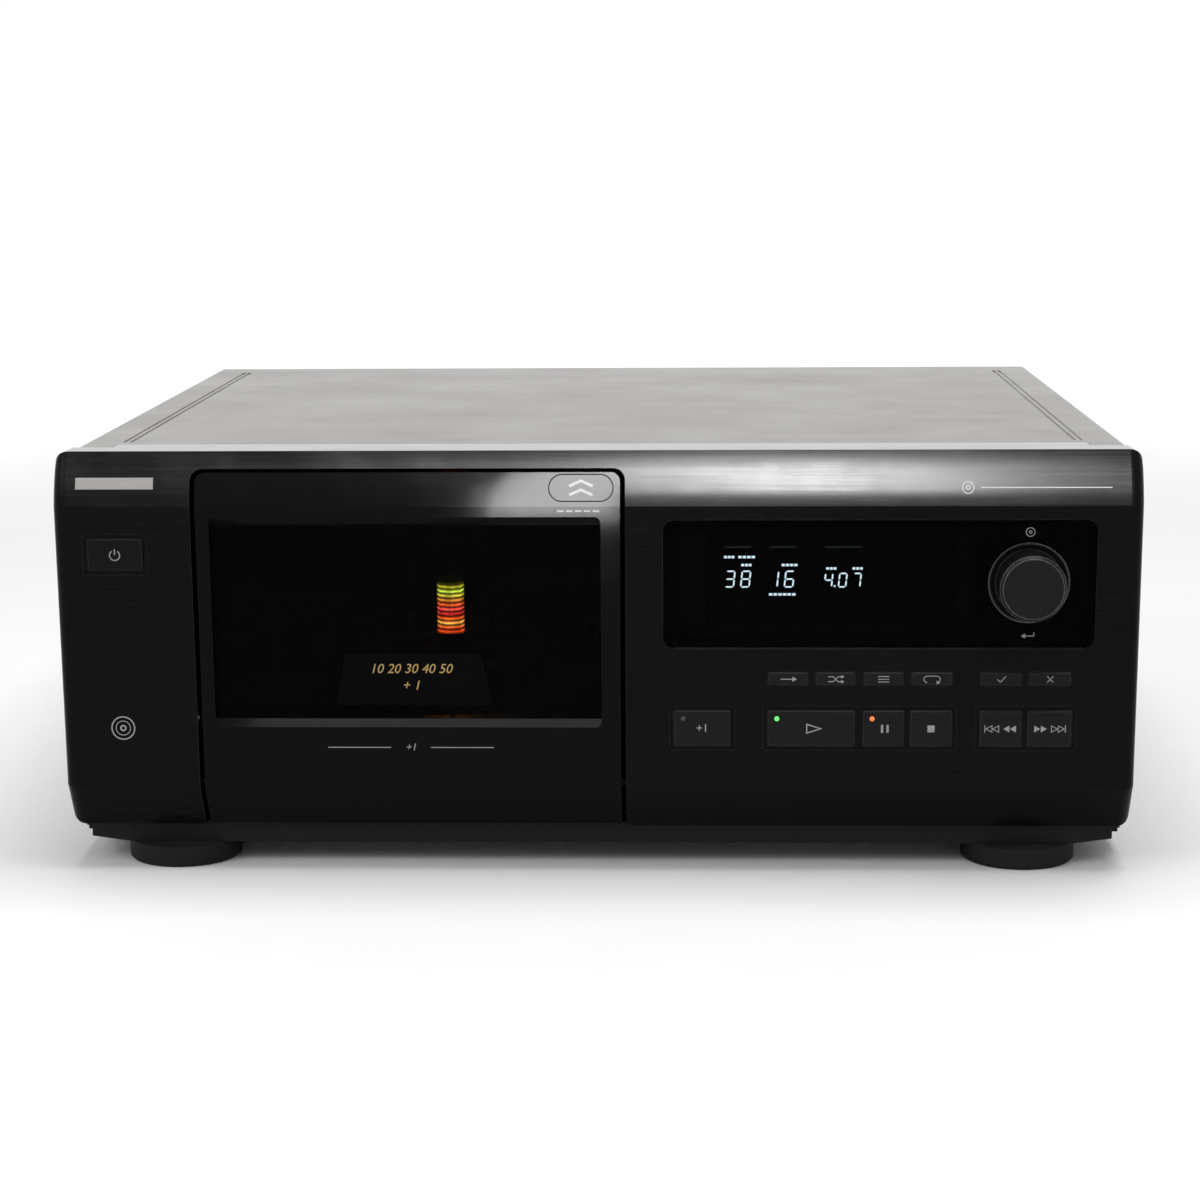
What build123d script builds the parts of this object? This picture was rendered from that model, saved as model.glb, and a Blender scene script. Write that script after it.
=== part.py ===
from build123d import *
import os
from math import acos, cos, pi, radians, sin, sqrt, tan

os.makedirs("parts", exist_ok=True)

# A fifty-plus-one disc changer. X runs to the right, Y to the back, Z up; millimetres.
# The origin is on the ground, under the middle of the whole machine.

# ---------------------------------------------------------------- driving dimensions
WIDTH = 430.0                # across the casing
COVER_TOP = 167.0            # height of the sheet cover above the ground
PANEL_TOP = 170.0            # height of the front panel above the ground
BODY_DEPTH = 385.0           # flat of the front panel to the back edge of the cover
KNOB_PROTRUSION = 15.0       # dial knob in front of the flat
JACK_PROTRUSION = 5.0        # phono sleeves behind the back edge of the cover
FOOT_HEIGHT = 8.5
FOOT_RADIUS = 23.0

# Fits and clearances
RUNNING_FIT = 0.05           # radial, a shaft in its hole
SLIDE_GAP = 0.3              # round a key, a button or a slide
SEAM = 0.3                   # between two casing pieces
BACKLASH = 0.16              # taken off each flank of a gear tooth, in modules

# Front panel section: distances behind its flat, and heights
PANEL_WALL = 3.0
PANEL_DEPTH = 33.0
PANEL_BOTTOM = 17.0
UNDERCUT = 10.0              # how far the lower band runs back
UNDERCUT_TOP = 34.5
BAND_FOOT = 149.0            # crease under the rounded upper band
BAND_MID = (3.8, 161.0)      # a point of the upper band's arc: behind the flat, height
BAND_BACK = 9.0              # where that arc meets the top
TOP_SLOPE_START = 22.0       # where the top begins to fall to the cover
PANEL_CORNER = 5.5
TONGUE_INSET = 15.4          # from the casing's side to the glossy strip let into the cover
TONGUE_BACK = 56.0
TONGUE_THICKNESS = 2.0

# Door in the panel
DOOR_INSET = 57.0            # from the casing's left side to the door
DOOR_WIDTH = 168.0
DOOR_TOP = 162.0
DOOR_BOTTOM = 17.8
DOOR_GAP = 2.0               # beside the door
DOOR_TOP_GAP = 1.5
DOOR_CORNER = 3.6
DOOR_WALL = 3.0
DOOR_RETURN = 14.0           # depth of the door's side walls
HINGE_BACK = 10.0            # hinge axis behind the flat
HINGE_Z = 35.0
HINGE_PIN_RADIUS = 1.5
WINDOW_LEFT_MARGIN = 5.4     # door's edges to the window's
WINDOW_RIGHT_MARGIN = 7.7
WINDOW_TOP = 144.8
WINDOW_BOTTOM = 60.0
WINDOW_TOP_BEVEL = 3.6
WINDOW_BOTTOM_BEVEL = 2.9
WINDOW_CORNER = 2.4
WINDOW_PANE = 2.0
WINDOW_LAP = 1.8             # pane behind the door's wall, round the opening
PUSH_INSET = 15.35           # door's right edge to the middle of the place that is pushed

# Display and dial
DISPLAY_INSET = 18.5         # from the casing's right side to the display's pane
DISPLAY_WIDTH = 169.5
DISPLAY_TOP = 143.2
DISPLAY_BOTTOM = 92.6
DISPLAY_CORNER = 4.0
DISPLAY_PANE = 2.0
DISPLAY_LEDGE = 5.0
DIAL_INSET = 44.5            # from the casing's right side to the dial's axis
DIAL_Z = 118.5
DIAL_RING_RADIUS = 16.0
KNOB_RADIUS = 13.0
KNOB_FACE_RADIUS = 11.8
KNOB_WALL = 1.8
SHAFT_RADIUS = 3.0
DIAL_TRAVEL = 0.6

# Keys: distances of their left and right edges from the casing's right side, and heights
BIG_KEY_BOTTOM = 52.4
BIG_KEY_TOP = 67.2
SMALL_KEY_BOTTOM = 77.2
SMALL_KEY_TOP = 82.7
BIG_KEYS = {
    "plus_one_key": (184.0, 161.2),
    "play_key": (146.8, 111.6),
    "pause_key": (109.0, 92.2),
    "stop_key": (90.2, 73.2),
    "previous_key": (62.6, 45.6),
    "next_key": (43.8, 26.0),
}
SMALL_KEYS = {
    "continue_key": (146.7, 130.5),
    "shuffle_key": (127.9, 111.6),
    "program_key": (108.9, 92.6),
    "repeat_key": (90.0, 73.4),
    "check_key": (62.6, 46.0),
    "clear_key": (43.6, 26.7),
}
KEY_WELLS = (("plus_one_key",), ("play_key", "pause_key", "stop_key"), ("previous_key", "next_key"))
KEY_WELL_MARGIN = 1.6
KEY_WELL_DEPTH = 0.8
KEY_PROUD = 0.6
KEY_CORNER = 0.8
KEY_BEVEL = 0.5
KEY_TRAVEL = 0.8
KEY_FLANGE = 0.7             # lip behind the panel that keeps a key in
KEY_FLANGE_THICKNESS = 1.5
KEY_STEM = 3.0
POWER_INSETS = (13.5, 35.8)  # from the casing's left side to the power button's edges
POWER_BOTTOM = 123.5
POWER_TOP = 136.5
POWER_TRAVEL = 2.5
LAMP_RADIUS = 1.0
LAMP_Z = 63.8
LAMP_INSET = 3.9             # from a key's left edge to its lamp
LAMP_KEYS = ("play_key", "pause_key", "plus_one_key")

# Boards behind the panel
BOARD_BACK = 16.0            # front face of the control board, behind the flat
BOARD_THICKNESS = 1.6
SWITCH_SIZE = 6.0
SWITCH_HEIGHT = 3.6
BOSS_RADIUS = 3.0
TUBE_MARGIN = 17.0           # display's left edge to the tube
TUBE_WIDTH = 98.0
TUBE_BOTTOM = 100.0
TUBE_TOP = 137.0
TUBE_THICKNESS = 8.0

# Casing
COVER_SHEET = 1.0
COVER_BEND = 2.5
COVER_LIP = 14.0             # turned down behind, for the rear panel's upper screws
COVER_SKIRT = 10.0           # height of the cover's lower edge above the ground
GROOVE_INSET = 16.0          # from the casing's side to the groove
GROOVE_WIDTH = 4.5
GROOVE_FRONT = 63.0
GROOVE_BACK = 363.0
GROOVE_DEPTH = 0.4
CHASSIS_SHEET = 1.2
CHASSIS_FLANGE = 26.0        # height of the side flanges
CHASSIS_LIP = 8.0            # height of the front and rear lips above the floor
PLINTH_FRONT = 14.0
PLINTH_CHAMFER_BACK = 22.0
PLINTH_INSET = 5.0           # from the casing's side to the plinth's end
PLINTH_CHAMFER = 18.0        # along its front, at each end
PLINTH_WALL = 2.5
REAR_INSET = 3.0             # rear panel, in front of the cover's back edge
REAR_SHEET = 1.2
VENT_SLOTS = 14               # in the rear panel
VENT_PITCH = 8.0
VENT_WIDTH = 3.0
VENT_BOTTOM = 62.0
VENT_TOP = 90.0
FOOT_INSET = 43.0            # from the casing's side to a foot's centre
FOOT_FRONT = 27.0            # front feet centres, behind the flat
FOOT_REAR = 350.0            # rear feet centres, behind the flat
SCREW_RADIUS = 1.5
SCREW_HEAD = 3.2
SCREW_HEAD_HEIGHT = 1.8
SCREW_LENGTH = 5.0
FOOT_SCREW_LENGTH = 4.0

# Carousel
TABLE_INSET = 141.0          # from the casing's left side to the table's axis
TABLE_BACK = 178.0           # its axis behind the flat
DISC_RADIUS = 60.0
DISC_THICKNESS = 1.2
DISC_COUNT = 51
DISC_INNER = 18.0            # edge of a standing disc nearest the axis
DISC_Z = 95.0                # height of a standing disc's centre
SLOT_WIDTH = 2.2
TABLE_RADIUS = 136.0
TABLE_FLOOR = 4.0
OUTER_TEETH_WIDTH = 24.0
OUTER_TEETH_HEIGHT = 16.0
INNER_TEETH = (31.0, 46.0)   # radii of the inner ring of slots
INNER_TEETH_HEIGHT = 22.0
HUB_RADIUS = 14.0
HUB_TOP = 56.0
POST_RADIUS = 8.0
POST_TOP = 64.6
POST_FLANGE = 22.0
COLUMN_RADIUS = 6.25
COLUMN_TOP = 89.9
COLUMN_RIBS = 12
RING_MODULE = 1.5
RING_TEETH = 150
RING_FACE = 8.0
RING_BAND = 5.0
IDLER_SMALL_TEETH = 12
IDLER_BIG_TEETH = 48
FINE_MODULE = 1.0
PINION_TEETH = 12
GEAR_FACE = 4.0
AXLE_RADIUS = 2.0
MOTOR_SHAFT = 1.0
TABLE_MOTOR_RADIUS = 12.0
TABLE_MOTOR_HEIGHT = 18.0

# Disc mechanism
MECH_START = 140.0           # from the table's axis to the mechanism's plate
SPINDLE_REACH = 204.0        # from the table's axis to the spindle's
MECH_WIDTH = 138.0
MECH_PLATE_GAP = 13.0        # disc plane to the plate behind it
MECH_SHEET = 1.5
MECH_TOP = 164.0
MECH_FOOT = 30.0
TURNTABLE_RADIUS = 15.0
CENTRING_RADIUS = 7.3
SPINDLE_RADIUS = 1.5
SPINDLE_MOTOR_RADIUS = 13.0
SPINDLE_MOTOR_LENGTH = 14.0
LOAD_TRAVEL = 126.0
SLED_TRAVEL = 34.0
LENS_START = 24.0            # lens to spindle with the sled at its inner stop
GUIDE_RADIUS = 1.5
CLAMP_PIN_RADIUS = 1.5
PUCK_RADIUS = 14.0
DAMPER_TEETH = 12
SECTOR_TEETH = 40            # of the full circle that the door's sector belongs to

# Rear connectors
PHONO_INSET = 50.0           # from the casing's right side
PHONO_Z = (32.0, 48.0)
PHONO_RADIUS = 4.15
PHONO_COLLAR = 5.2           # boss round each sleeve, through the rear panel
COLLAR_PROUD = 0.5
PHONO_BORE = 1.7
OPTICAL_INSET = 87.0
CONTROL_INSETS = (125.0, 109.0)
CONTROL_BORE = 1.8
SOCKET_Z = 32.0
GLAND_INSET = 39.0           # from the casing's left side
GLAND_Z = 34.0
GLAND_BORE = 3.2
GLAND_RADIUS = 7.0

# ---------------------------------------------------------------- derived places
TOTAL_DEPTH = KNOB_PROTRUSION + BODY_DEPTH + JACK_PROTRUSION
FACE_Y = -TOTAL_DEPTH / 2 + KNOB_PROTRUSION
COVER_BACK = FACE_Y + BODY_DEPTH
HALF = WIDTH / 2
TONGUE_HALF_WIDTH = HALF - TONGUE_INSET
DOOR_LEFT = -HALF + DOOR_INSET
DOOR_RIGHT = DOOR_LEFT + DOOR_WIDTH
WINDOW_LEFT = DOOR_LEFT + WINDOW_LEFT_MARGIN
WINDOW_RIGHT = DOOR_RIGHT - WINDOW_RIGHT_MARGIN
DISPLAY_RIGHT = HALF - DISPLAY_INSET
DISPLAY_LEFT = DISPLAY_RIGHT - DISPLAY_WIDTH
DIAL_X = HALF - DIAL_INSET
GROOVE_OUTER = HALF - GROOVE_INSET
GROOVE_INNER = GROOVE_OUTER - GROOVE_WIDTH
PLINTH_OUTER = HALF - PLINTH_INSET
PLINTH_INNER = PLINTH_OUTER - PLINTH_CHAMFER
FOOT_X = HALF - FOOT_INSET
TABLE_X = -HALF + TABLE_INSET
MECH_LEFT = TABLE_X + MECH_START
MECH_RIGHT = MECH_LEFT + MECH_WIDTH
SPINDLE_X = TABLE_X + SPINDLE_REACH
PHONO_X = HALF - PHONO_INSET
OPTICAL_X = HALF - OPTICAL_INSET
CONTROL_X = [HALF - inset for inset in CONTROL_INSETS]
GLAND_X = -HALF + GLAND_INSET
FLOOR_TOP = FOOT_HEIGHT + CHASSIS_SHEET
COVER_UNDERSIDE = COVER_TOP - COVER_SHEET
TABLE_Y = FACE_Y + TABLE_BACK
DISC_SEAT_R = DISC_INNER + DISC_RADIUS
REAR_OUT = COVER_BACK - REAR_INSET
REAR_IN = REAR_OUT - REAR_SHEET
TABLE_BASE = DISC_Z - DISC_RADIUS - TABLE_FLOOR - 1.0
TABLE_DECK = TABLE_BASE + TABLE_FLOOR
MECH_FRONT = TABLE_Y + MECH_PLATE_GAP
MECH_BACK = MECH_FRONT + MECH_SHEET


def behind(distance):
    """Y of a point that lies this far behind the flat of the front panel."""
    return FACE_Y + distance


# ---------------------------------------------------------------- shape helpers
def block(x0, x1, y0, y1, z0, z1):
    return Pos((x0 + x1) / 2, (y0 + y1) / 2, (z0 + z1) / 2) * Box(x1 - x0, y1 - y0, z1 - z0)


def rod_x(y, z, radius, x0, x1):
    return Pos((x0 + x1) / 2, y, z) * Rot(0, 90, 0) * Cylinder(radius, x1 - x0)


def rod_y(x, z, radius, y0, y1):
    return Pos(x, (y0 + y1) / 2, z) * Rot(90, 0, 0) * Cylinder(radius, y1 - y0)


def rod_z(x, y, radius, z0, z1):
    return Pos(x, y, (z0 + z1) / 2) * Cylinder(radius, z1 - z0)


def tube_y(x, z, outer, inner, y0, y1):
    return rod_y(x, z, outer, y0, y1) - rod_y(x, z, inner, y0 - 1, y1 + 1)


def tile(x0, x1, z0, z1, radius, y0, y1):
    """Rounded rectangle in the XZ plane, from y0 back to y1."""
    outline = Plane.XZ.offset(-y0) * Pos((x0 + x1) / 2, (z0 + z1) / 2)
    return extrude(outline * RectangleRounded(x1 - x0, z1 - z0, radius), amount=-(y1 - y0))


def cone_y(x, z, radius0, radius1, y0, y1):
    """Cone along Y, radius0 at y0 and radius1 at y1."""
    return Pos(x, (y0 + y1) / 2, z) * Rot(-90, 0, 0) * Cone(radius0, radius1, y1 - y0)


def extrude_x(outline, x0, x1):
    """A closed outline of (y, z) points, carried from x0 to x1."""
    face = make_face(Polyline(*[(x0, y, z) for y, z in outline], close=True))
    return extrude(face, amount=x1 - x0, dir=(1, 0, 0))


def extrude_y(outline, y0, y1):
    """A closed outline of (x, z) points, carried from y0 to y1."""
    face = make_face(Polyline(*[(x, y0, z) for x, z in outline], close=True))
    return extrude(face, amount=y1 - y0, dir=(0, 1, 0))


def extrude_z(outline, z0, z1):
    """A closed outline of (x, y) points, carried from z0 to z1."""
    face = make_face(Polyline(*[(x, y, z0) for x, y in outline], close=True))
    return extrude(face, amount=z1 - z0, dir=(0, 0, 1))


def screw_y(x, z, seat_y, length, outward):
    """Screw along Y with its head on the outward side (+1 or -1) of seat_y."""
    head_end = seat_y + outward * SCREW_HEAD_HEIGHT
    tip = seat_y - outward * length
    head = rod_y(x, z, SCREW_HEAD, min(seat_y, head_end), max(seat_y, head_end))
    shank = rod_y(x, z, SCREW_RADIUS, min(seat_y, tip), max(seat_y, tip))
    recess_start = head_end - outward * SCREW_HEAD_HEIGHT * 0.6
    slot_y = (min(recess_start, head_end), max(recess_start, head_end))
    reach = SCREW_HEAD * 0.6
    width = SCREW_HEAD * 0.14
    cross = block(x - reach, x + reach, *slot_y, z - width, z + width)
    cross += block(x - width, x + width, *slot_y, z - reach, z + reach)
    return head + shank - cross


# ---------------------------------------------------------------- gears
PRESSURE_ANGLE = radians(25)
ADDENDUM = 0.8
DEDENDUM = 1.05


def involute(radius, base):
    angle = acos(min(1.0, base / radius))
    return tan(angle) - angle


def gear_outline(teeth, module, first=0, count=None):
    """Points of involute teeth round a circle; tooth 0 is centred on angle 0."""
    pitch = teeth * module / 2
    base = pitch * cos(PRESSURE_ANGLE)
    root = pitch - DEDENDUM * module
    tip = pitch + ADDENDUM * module
    half = (pi / 2 - 2 * BACKLASH) / teeth + involute(pitch, base)
    radii = [max(base, root), pitch, (pitch + tip) / 2, tip]
    flank = [(root, half - involute(radii[0], base))] if root < base else []
    flank += [(r, half - involute(r, base)) for r in radii]
    points = []
    for k in range(first, first + (count or teeth)):
        middle = 2 * pi * k / teeth
        points += [(r * cos(middle - a), r * sin(middle - a)) for r, a in flank]
        points += [(r * cos(middle + a), r * sin(middle + a)) for r, a in reversed(flank)]
    return points


def gear(teeth, module, face, bore, turn=0.0):
    """Spur gear on the Z axis from z = 0 to z = face, turned by some degrees."""
    body = extrude_z(gear_outline(teeth, module), 0, face)
    return Rot(0, 0, turn) * (body - rod_z(0, 0, bore, -1, face + 1))


def gear_along_y(teeth, module, bore, x, z, y0, y1, turn=0.0):
    """Spur gear on an axis along Y; a turn of 0 points a tooth to +X."""
    return Pos(x, y1, z) * Rot(90, 0, 0) * gear(teeth, module, y1 - y0, bore, turn)


def facing_right(solid):
    """A solid drawn about Z, turned so that its axis runs to +X and its +X to the back."""
    return Rot(0, 0, 90) * Rot(90, 0, 0) * solid


def rack_teeth(module, x0, x1, pitch_z, phase_x, y0, y1, back):
    """Straight rack with its teeth down; one tooth is centred on phase_x."""
    pitch = pi * module
    lean = tan(PRESSURE_ANGLE)
    tip_half = pitch / 4 - BACKLASH * module - ADDENDUM * module * lean
    root_half = pitch / 4 - BACKLASH * module + DEDENDUM * module * lean
    root_z = pitch_z + DEDENDUM * module
    points = [(x0, root_z + back), (x0, root_z)]
    first = int((x0 + root_half - phase_x) / pitch) - 1
    last = int((x1 - root_half - phase_x) / pitch) + 1
    for k in range(first, last + 1):
        x = phase_x + k * pitch
        if x - root_half > x0 and x + root_half < x1:
            points += [(x - root_half, root_z), (x - tip_half, pitch_z - ADDENDUM * module)]
            points += [(x + tip_half, pitch_z - ADDENDUM * module), (x + root_half, root_z)]
    points += [(x1, root_z), (x1, root_z + back)]
    return extrude_y(points, y0, y1)


# ---------------------------------------------------------------- front panel section
def panel_section(inset=0.0, back=PANEL_DEPTH):
    """Face of the panel's outer section in the YZ plane at x = 0, or of its hollow."""
    arc_inset = inset * 0.95
    bottom = PANEL_BOTTOM + inset
    top = PANEL_TOP - inset
    low = (behind(UNDERCUT + inset * 0.6), bottom)
    front_low = (behind(inset), UNDERCUT_TOP + inset * 0.3)
    crease = (behind(inset), BAND_FOOT)
    middle = (behind(BAND_MID[0] + arc_inset), BAND_MID[1] - inset * 0.35)
    crown = (behind(BAND_BACK + inset * 0.6), top)
    slope = (behind(TOP_SLOPE_START), top)
    rear = (behind(back), COVER_TOP - inset)
    rear_low = (behind(back), bottom)

    def at(point):
        return (0, point[0], point[1])

    edges = [
        Line(at(low), at(front_low)),
        Line(at(front_low), at(crease)),
        ThreePointArc(at(crease), at(middle), at(crown)),
        Line(at(crown), at(slope)),
        Line(at(slope), at(rear)),
        Line(at(rear), at(rear_low)),
        Line(at(rear_low), at(low)),
    ]
    return make_face(Wire(edges))


def panel_solid(x0, x1, inset=0.0, back=PANEL_DEPTH):
    """The panel's section carried from x0 to x1."""
    return Pos(x0, 0, 0) * extrude(panel_section(inset, back), amount=x1 - x0, dir=(1, 0, 0))


def panel_hollow(x0, x1):
    """The room behind the panel's wall, open to the back."""
    return panel_solid(x0, x1, PANEL_WALL, PANEL_DEPTH + 1)


def rounded_ends(solid):
    """The panel's front, top and bottom corners at its two ends, rounded."""
    ends = [
        e for e in solid.edges()
        if abs(abs(e.center().X) - HALF) < 0.01 and e.center().Y < behind(PANEL_DEPTH) - 1
    ]
    return fillet(ends, PANEL_CORNER)


# ---------------------------------------------------------------- places of keys and bosses
def key_span(name):
    """Left, right, bottom and top of one key."""
    if name == "power_button":
        return (-HALF + POWER_INSETS[0], -HALF + POWER_INSETS[1], POWER_BOTTOM, POWER_TOP)
    if name in BIG_KEYS:
        left, right = BIG_KEYS[name]
        return (HALF - left, HALF - right, BIG_KEY_BOTTOM, BIG_KEY_TOP)
    left, right = SMALL_KEYS[name]
    return (HALF - left, HALF - right, SMALL_KEY_BOTTOM, SMALL_KEY_TOP)


KEY_NAMES = [*BIG_KEYS, *SMALL_KEYS]
BOARD_SPAN = (DISPLAY_LEFT - 5, HALF - 11, BIG_KEY_BOTTOM - 6.4, DISPLAY_TOP + 2.8)
POWER_BOARD_SPAN = (-HALF + 4, -HALF + 45, POWER_BOTTOM - 2.5, POWER_TOP + 2.5)
BOARD_BOSSES = [(x, z) for z in (SMALL_KEY_TOP + 5.3, BIG_KEY_BOTTOM - 2.9)
                for x in (BOARD_SPAN[0] + 3.5, HALF - 67.5, BOARD_SPAN[1] - 4)]
POWER_MIDDLE = (POWER_BOTTOM + POWER_TOP) / 2
POWER_BOSSES = [(x, POWER_MIDDLE) for x in (POWER_BOARD_SPAN[0] + 4, POWER_BOARD_SPAN[1] - 4)]
STEM_END = BOARD_BACK - SWITCH_HEIGHT - KEY_TRAVEL - 0.1


# ---------------------------------------------------------------- casing
def front_bezel():
    """Moulded front panel: a shell with the door's bay, the key holes and the display's seat."""
    shell = rounded_ends(panel_solid(-HALF, HALF))
    shell -= panel_hollow(-HALF + PANEL_WALL, HALF - PANEL_WALL)
    bay_left = DOOR_LEFT - DOOR_GAP
    bay_right = DOOR_RIGHT + DOOR_GAP
    bay_top = DOOR_TOP + DOOR_TOP_GAP
    swing = UNDERCUT + DOOR_RETURN - 2
    for side in (-1, 1):
        inner = bay_left if side < 0 else bay_right
        outer = inner + side * PANEL_WALL
        cheek = panel_solid(min(inner, outer), max(inner, outer), PANEL_WALL - 0.5, PANEL_DEPTH)
        shell += cheek
    opening = tile(bay_left, bay_right, PANEL_BOTTOM - 20, bay_top, DOOR_CORNER + 1,
                   behind(-1), behind(swing))
    shell -= opening
    hinge_hole = HINGE_PIN_RADIUS + RUNNING_FIT
    for x in (bay_left - PANEL_WALL, bay_right):
        shell -= rod_x(behind(HINGE_BACK), HINGE_Z, hinge_hole, x - 1, x + PANEL_WALL + 1)
    # display seat: a pocket for the pane, a smaller hole for the tube, one for the dial shaft
    shell -= tile(DISPLAY_LEFT - SEAM, DISPLAY_RIGHT + SEAM, DISPLAY_BOTTOM - SEAM, DISPLAY_TOP + SEAM,
                  DISPLAY_CORNER + SEAM, behind(-1), behind(DISPLAY_PANE))
    hole_right = DIAL_X - DIAL_RING_RADIUS - DISPLAY_LEDGE
    shell -= tile(DISPLAY_LEFT + DISPLAY_LEDGE, hole_right, DISPLAY_BOTTOM + DISPLAY_LEDGE,
                  DISPLAY_TOP - DISPLAY_LEDGE, DISPLAY_CORNER, behind(-1), behind(PANEL_WALL + 1))
    shell -= rod_y(DIAL_X, DIAL_Z, SHAFT_RADIUS + SLIDE_GAP, behind(-1), behind(PANEL_WALL + 1))
    for wells in KEY_WELLS:
        left = key_span(wells[0])[0] - KEY_WELL_MARGIN
        right = key_span(wells[-1])[1] + KEY_WELL_MARGIN
        low = BIG_KEY_BOTTOM - KEY_WELL_MARGIN
        high = BIG_KEY_TOP + KEY_WELL_MARGIN
        shell -= tile(left, right, low, high, KEY_CORNER + 0.6, behind(-1), behind(KEY_WELL_DEPTH))
    left, right, low, high = key_span("power_button")
    shell -= tile(left - KEY_WELL_MARGIN, right + KEY_WELL_MARGIN, low - KEY_WELL_MARGIN,
                  high + KEY_WELL_MARGIN, KEY_CORNER + 0.6, behind(-1), behind(KEY_WELL_DEPTH))
    for name in [*KEY_NAMES, "power_button"]:
        left, right, low, high = key_span(name)
        shell -= tile(left - SLIDE_GAP, right + SLIDE_GAP, low - SLIDE_GAP, high + SLIDE_GAP,
                      KEY_CORNER + SLIDE_GAP, behind(-1), behind(PANEL_WALL + 1))
    for x, z in BOARD_BOSSES + POWER_BOSSES:
        shell += rod_y(x, z, BOSS_RADIUS, behind(PANEL_WALL - 0.5), behind(BOARD_BACK))
        shell -= rod_y(x, z, SCREW_RADIUS + RUNNING_FIT, behind(BOARD_BACK - 8), behind(BOARD_BACK + 1))
    # strip let into the cover
    tongue_front = behind(PANEL_DEPTH - 0.5)
    shell += block(-TONGUE_HALF_WIDTH, TONGUE_HALF_WIDTH, tongue_front, behind(TONGUE_BACK),
                   COVER_TOP - TONGUE_THICKNESS, COVER_TOP)
    return shell


def top_cover():
    """Sheet wrap: roof and two sides, notched for the panel's strip, with two long grooves."""
    front = behind(PANEL_DEPTH + SEAM)
    wrap = block(-HALF, HALF, front, COVER_BACK, COVER_SKIRT, COVER_TOP)
    bends = [e for e in wrap.edges().filter_by(Axis.Y) if e.center().Z > COVER_TOP - 1]
    wrap = fillet(bends, COVER_BEND)
    hollow = block(-HALF + COVER_SHEET, HALF - COVER_SHEET, front - 1, COVER_BACK + 1,
                   COVER_SKIRT - 1, COVER_UNDERSIDE)
    inner_bends = [e for e in hollow.edges().filter_by(Axis.Y) if e.center().Z > COVER_UNDERSIDE - 1]
    wrap -= fillet(inner_bends, COVER_BEND - COVER_SHEET)
    notch = TONGUE_HALF_WIDTH + SEAM
    wrap -= block(-notch, notch, front - 1, behind(TONGUE_BACK + SEAM), COVER_UNDERSIDE - 1, COVER_TOP + 1)
    for side in (-1, 1):
        x0 = min(side * GROOVE_INNER, side * GROOVE_OUTER)
        x1 = max(side * GROOVE_INNER, side * GROOVE_OUTER)
        middle = (x0 + x1) / 2
        rib = (x1 - x0) / 8
        groove = block(x0, x1, behind(GROOVE_FRONT), behind(GROOVE_BACK),
                       COVER_TOP - GROOVE_DEPTH, COVER_TOP + 1)
        groove -= block(middle - rib, middle + rib, behind(GROOVE_FRONT), behind(GROOVE_BACK),
                        COVER_TOP - GROOVE_DEPTH, COVER_TOP + 1)
        wrap -= groove
    wrap += block(-HALF + COVER_SHEET, HALF - COVER_SHEET, REAR_IN - COVER_SHEET, REAR_IN,
                  COVER_UNDERSIDE - COVER_LIP, COVER_UNDERSIDE)
    for x, z in rear_screw_places():
        if z > HUB_TOP:
            wrap -= rod_y(x, z, SCREW_RADIUS + RUNNING_FIT, REAR_IN - 2, REAR_IN + 1)
    for x, y, z in side_screw_places():
        wrap -= rod_x(y, z, SCREW_RADIUS + RUNNING_FIT, x - SCREW_LENGTH, x + SCREW_LENGTH)
    return wrap


def side_screw_places():
    """Two screws in each side of the cover, into the chassis flanges."""
    height = FOOT_HEIGHT + CHASSIS_FLANGE * 0.7
    return [(side * HALF, behind(d), height) for side in (-1, 1) for d in (90.0, 300.0)]


def rear_screw_places():
    """Screws from behind: along the rear panel's foot and its top corners."""
    low = FLOOR_TOP + CHASSIS_LIP / 2
    high = COVER_UNDERSIDE - 8
    corner = HALF - 15
    return [(x, z) for z in (low, high) for x in (-corner, -corner * 0.35, corner * 0.3, corner)]


PLINTH_OUTLINE = [
    (-PLINTH_OUTER, behind(PANEL_DEPTH)), (-PLINTH_OUTER, behind(PLINTH_CHAMFER_BACK)),
    (-PLINTH_INNER, behind(PLINTH_FRONT)), (PLINTH_INNER, behind(PLINTH_FRONT)),
    (PLINTH_OUTER, behind(PLINTH_CHAMFER_BACK)), (PLINTH_OUTER, behind(PANEL_DEPTH)),
]


def front_plinth():
    """Moulded strip under the panel, hollow from above, its ends running back."""
    w = PLINTH_WALL
    inner = [
        (-PLINTH_OUTER + w, behind(PANEL_DEPTH - w)),
        (-PLINTH_OUTER + w, behind(PLINTH_CHAMFER_BACK + w * 0.5)),
        (-PLINTH_INNER - w * 0.2, behind(PLINTH_FRONT + w)),
        (PLINTH_INNER + w * 0.2, behind(PLINTH_FRONT + w)),
        (PLINTH_OUTER - w, behind(PLINTH_CHAMFER_BACK + w * 0.5)),
        (PLINTH_OUTER - w, behind(PANEL_DEPTH - w)),
    ]
    strip = extrude_z(PLINTH_OUTLINE, FOOT_HEIGHT, PANEL_BOTTOM)
    strip -= extrude_z(inner, FOOT_HEIGHT + w, PANEL_BOTTOM + 1)
    for x in (-PLINTH_INNER * 0.6, -PLINTH_INNER * 0.2, PLINTH_INNER * 0.2, PLINTH_INNER * 0.6):
        strip += block(x - 1, x + 1, behind(PLINTH_FRONT + 1), behind(PANEL_DEPTH - 1),
                       FOOT_HEIGHT + 1, PANEL_BOTTOM)
    for side in (-1, 1):
        strip -= rod_z(side * FOOT_X, behind(FOOT_FRONT), SCREW_RADIUS + RUNNING_FIT, 0, PANEL_BOTTOM)
    return strip


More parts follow.
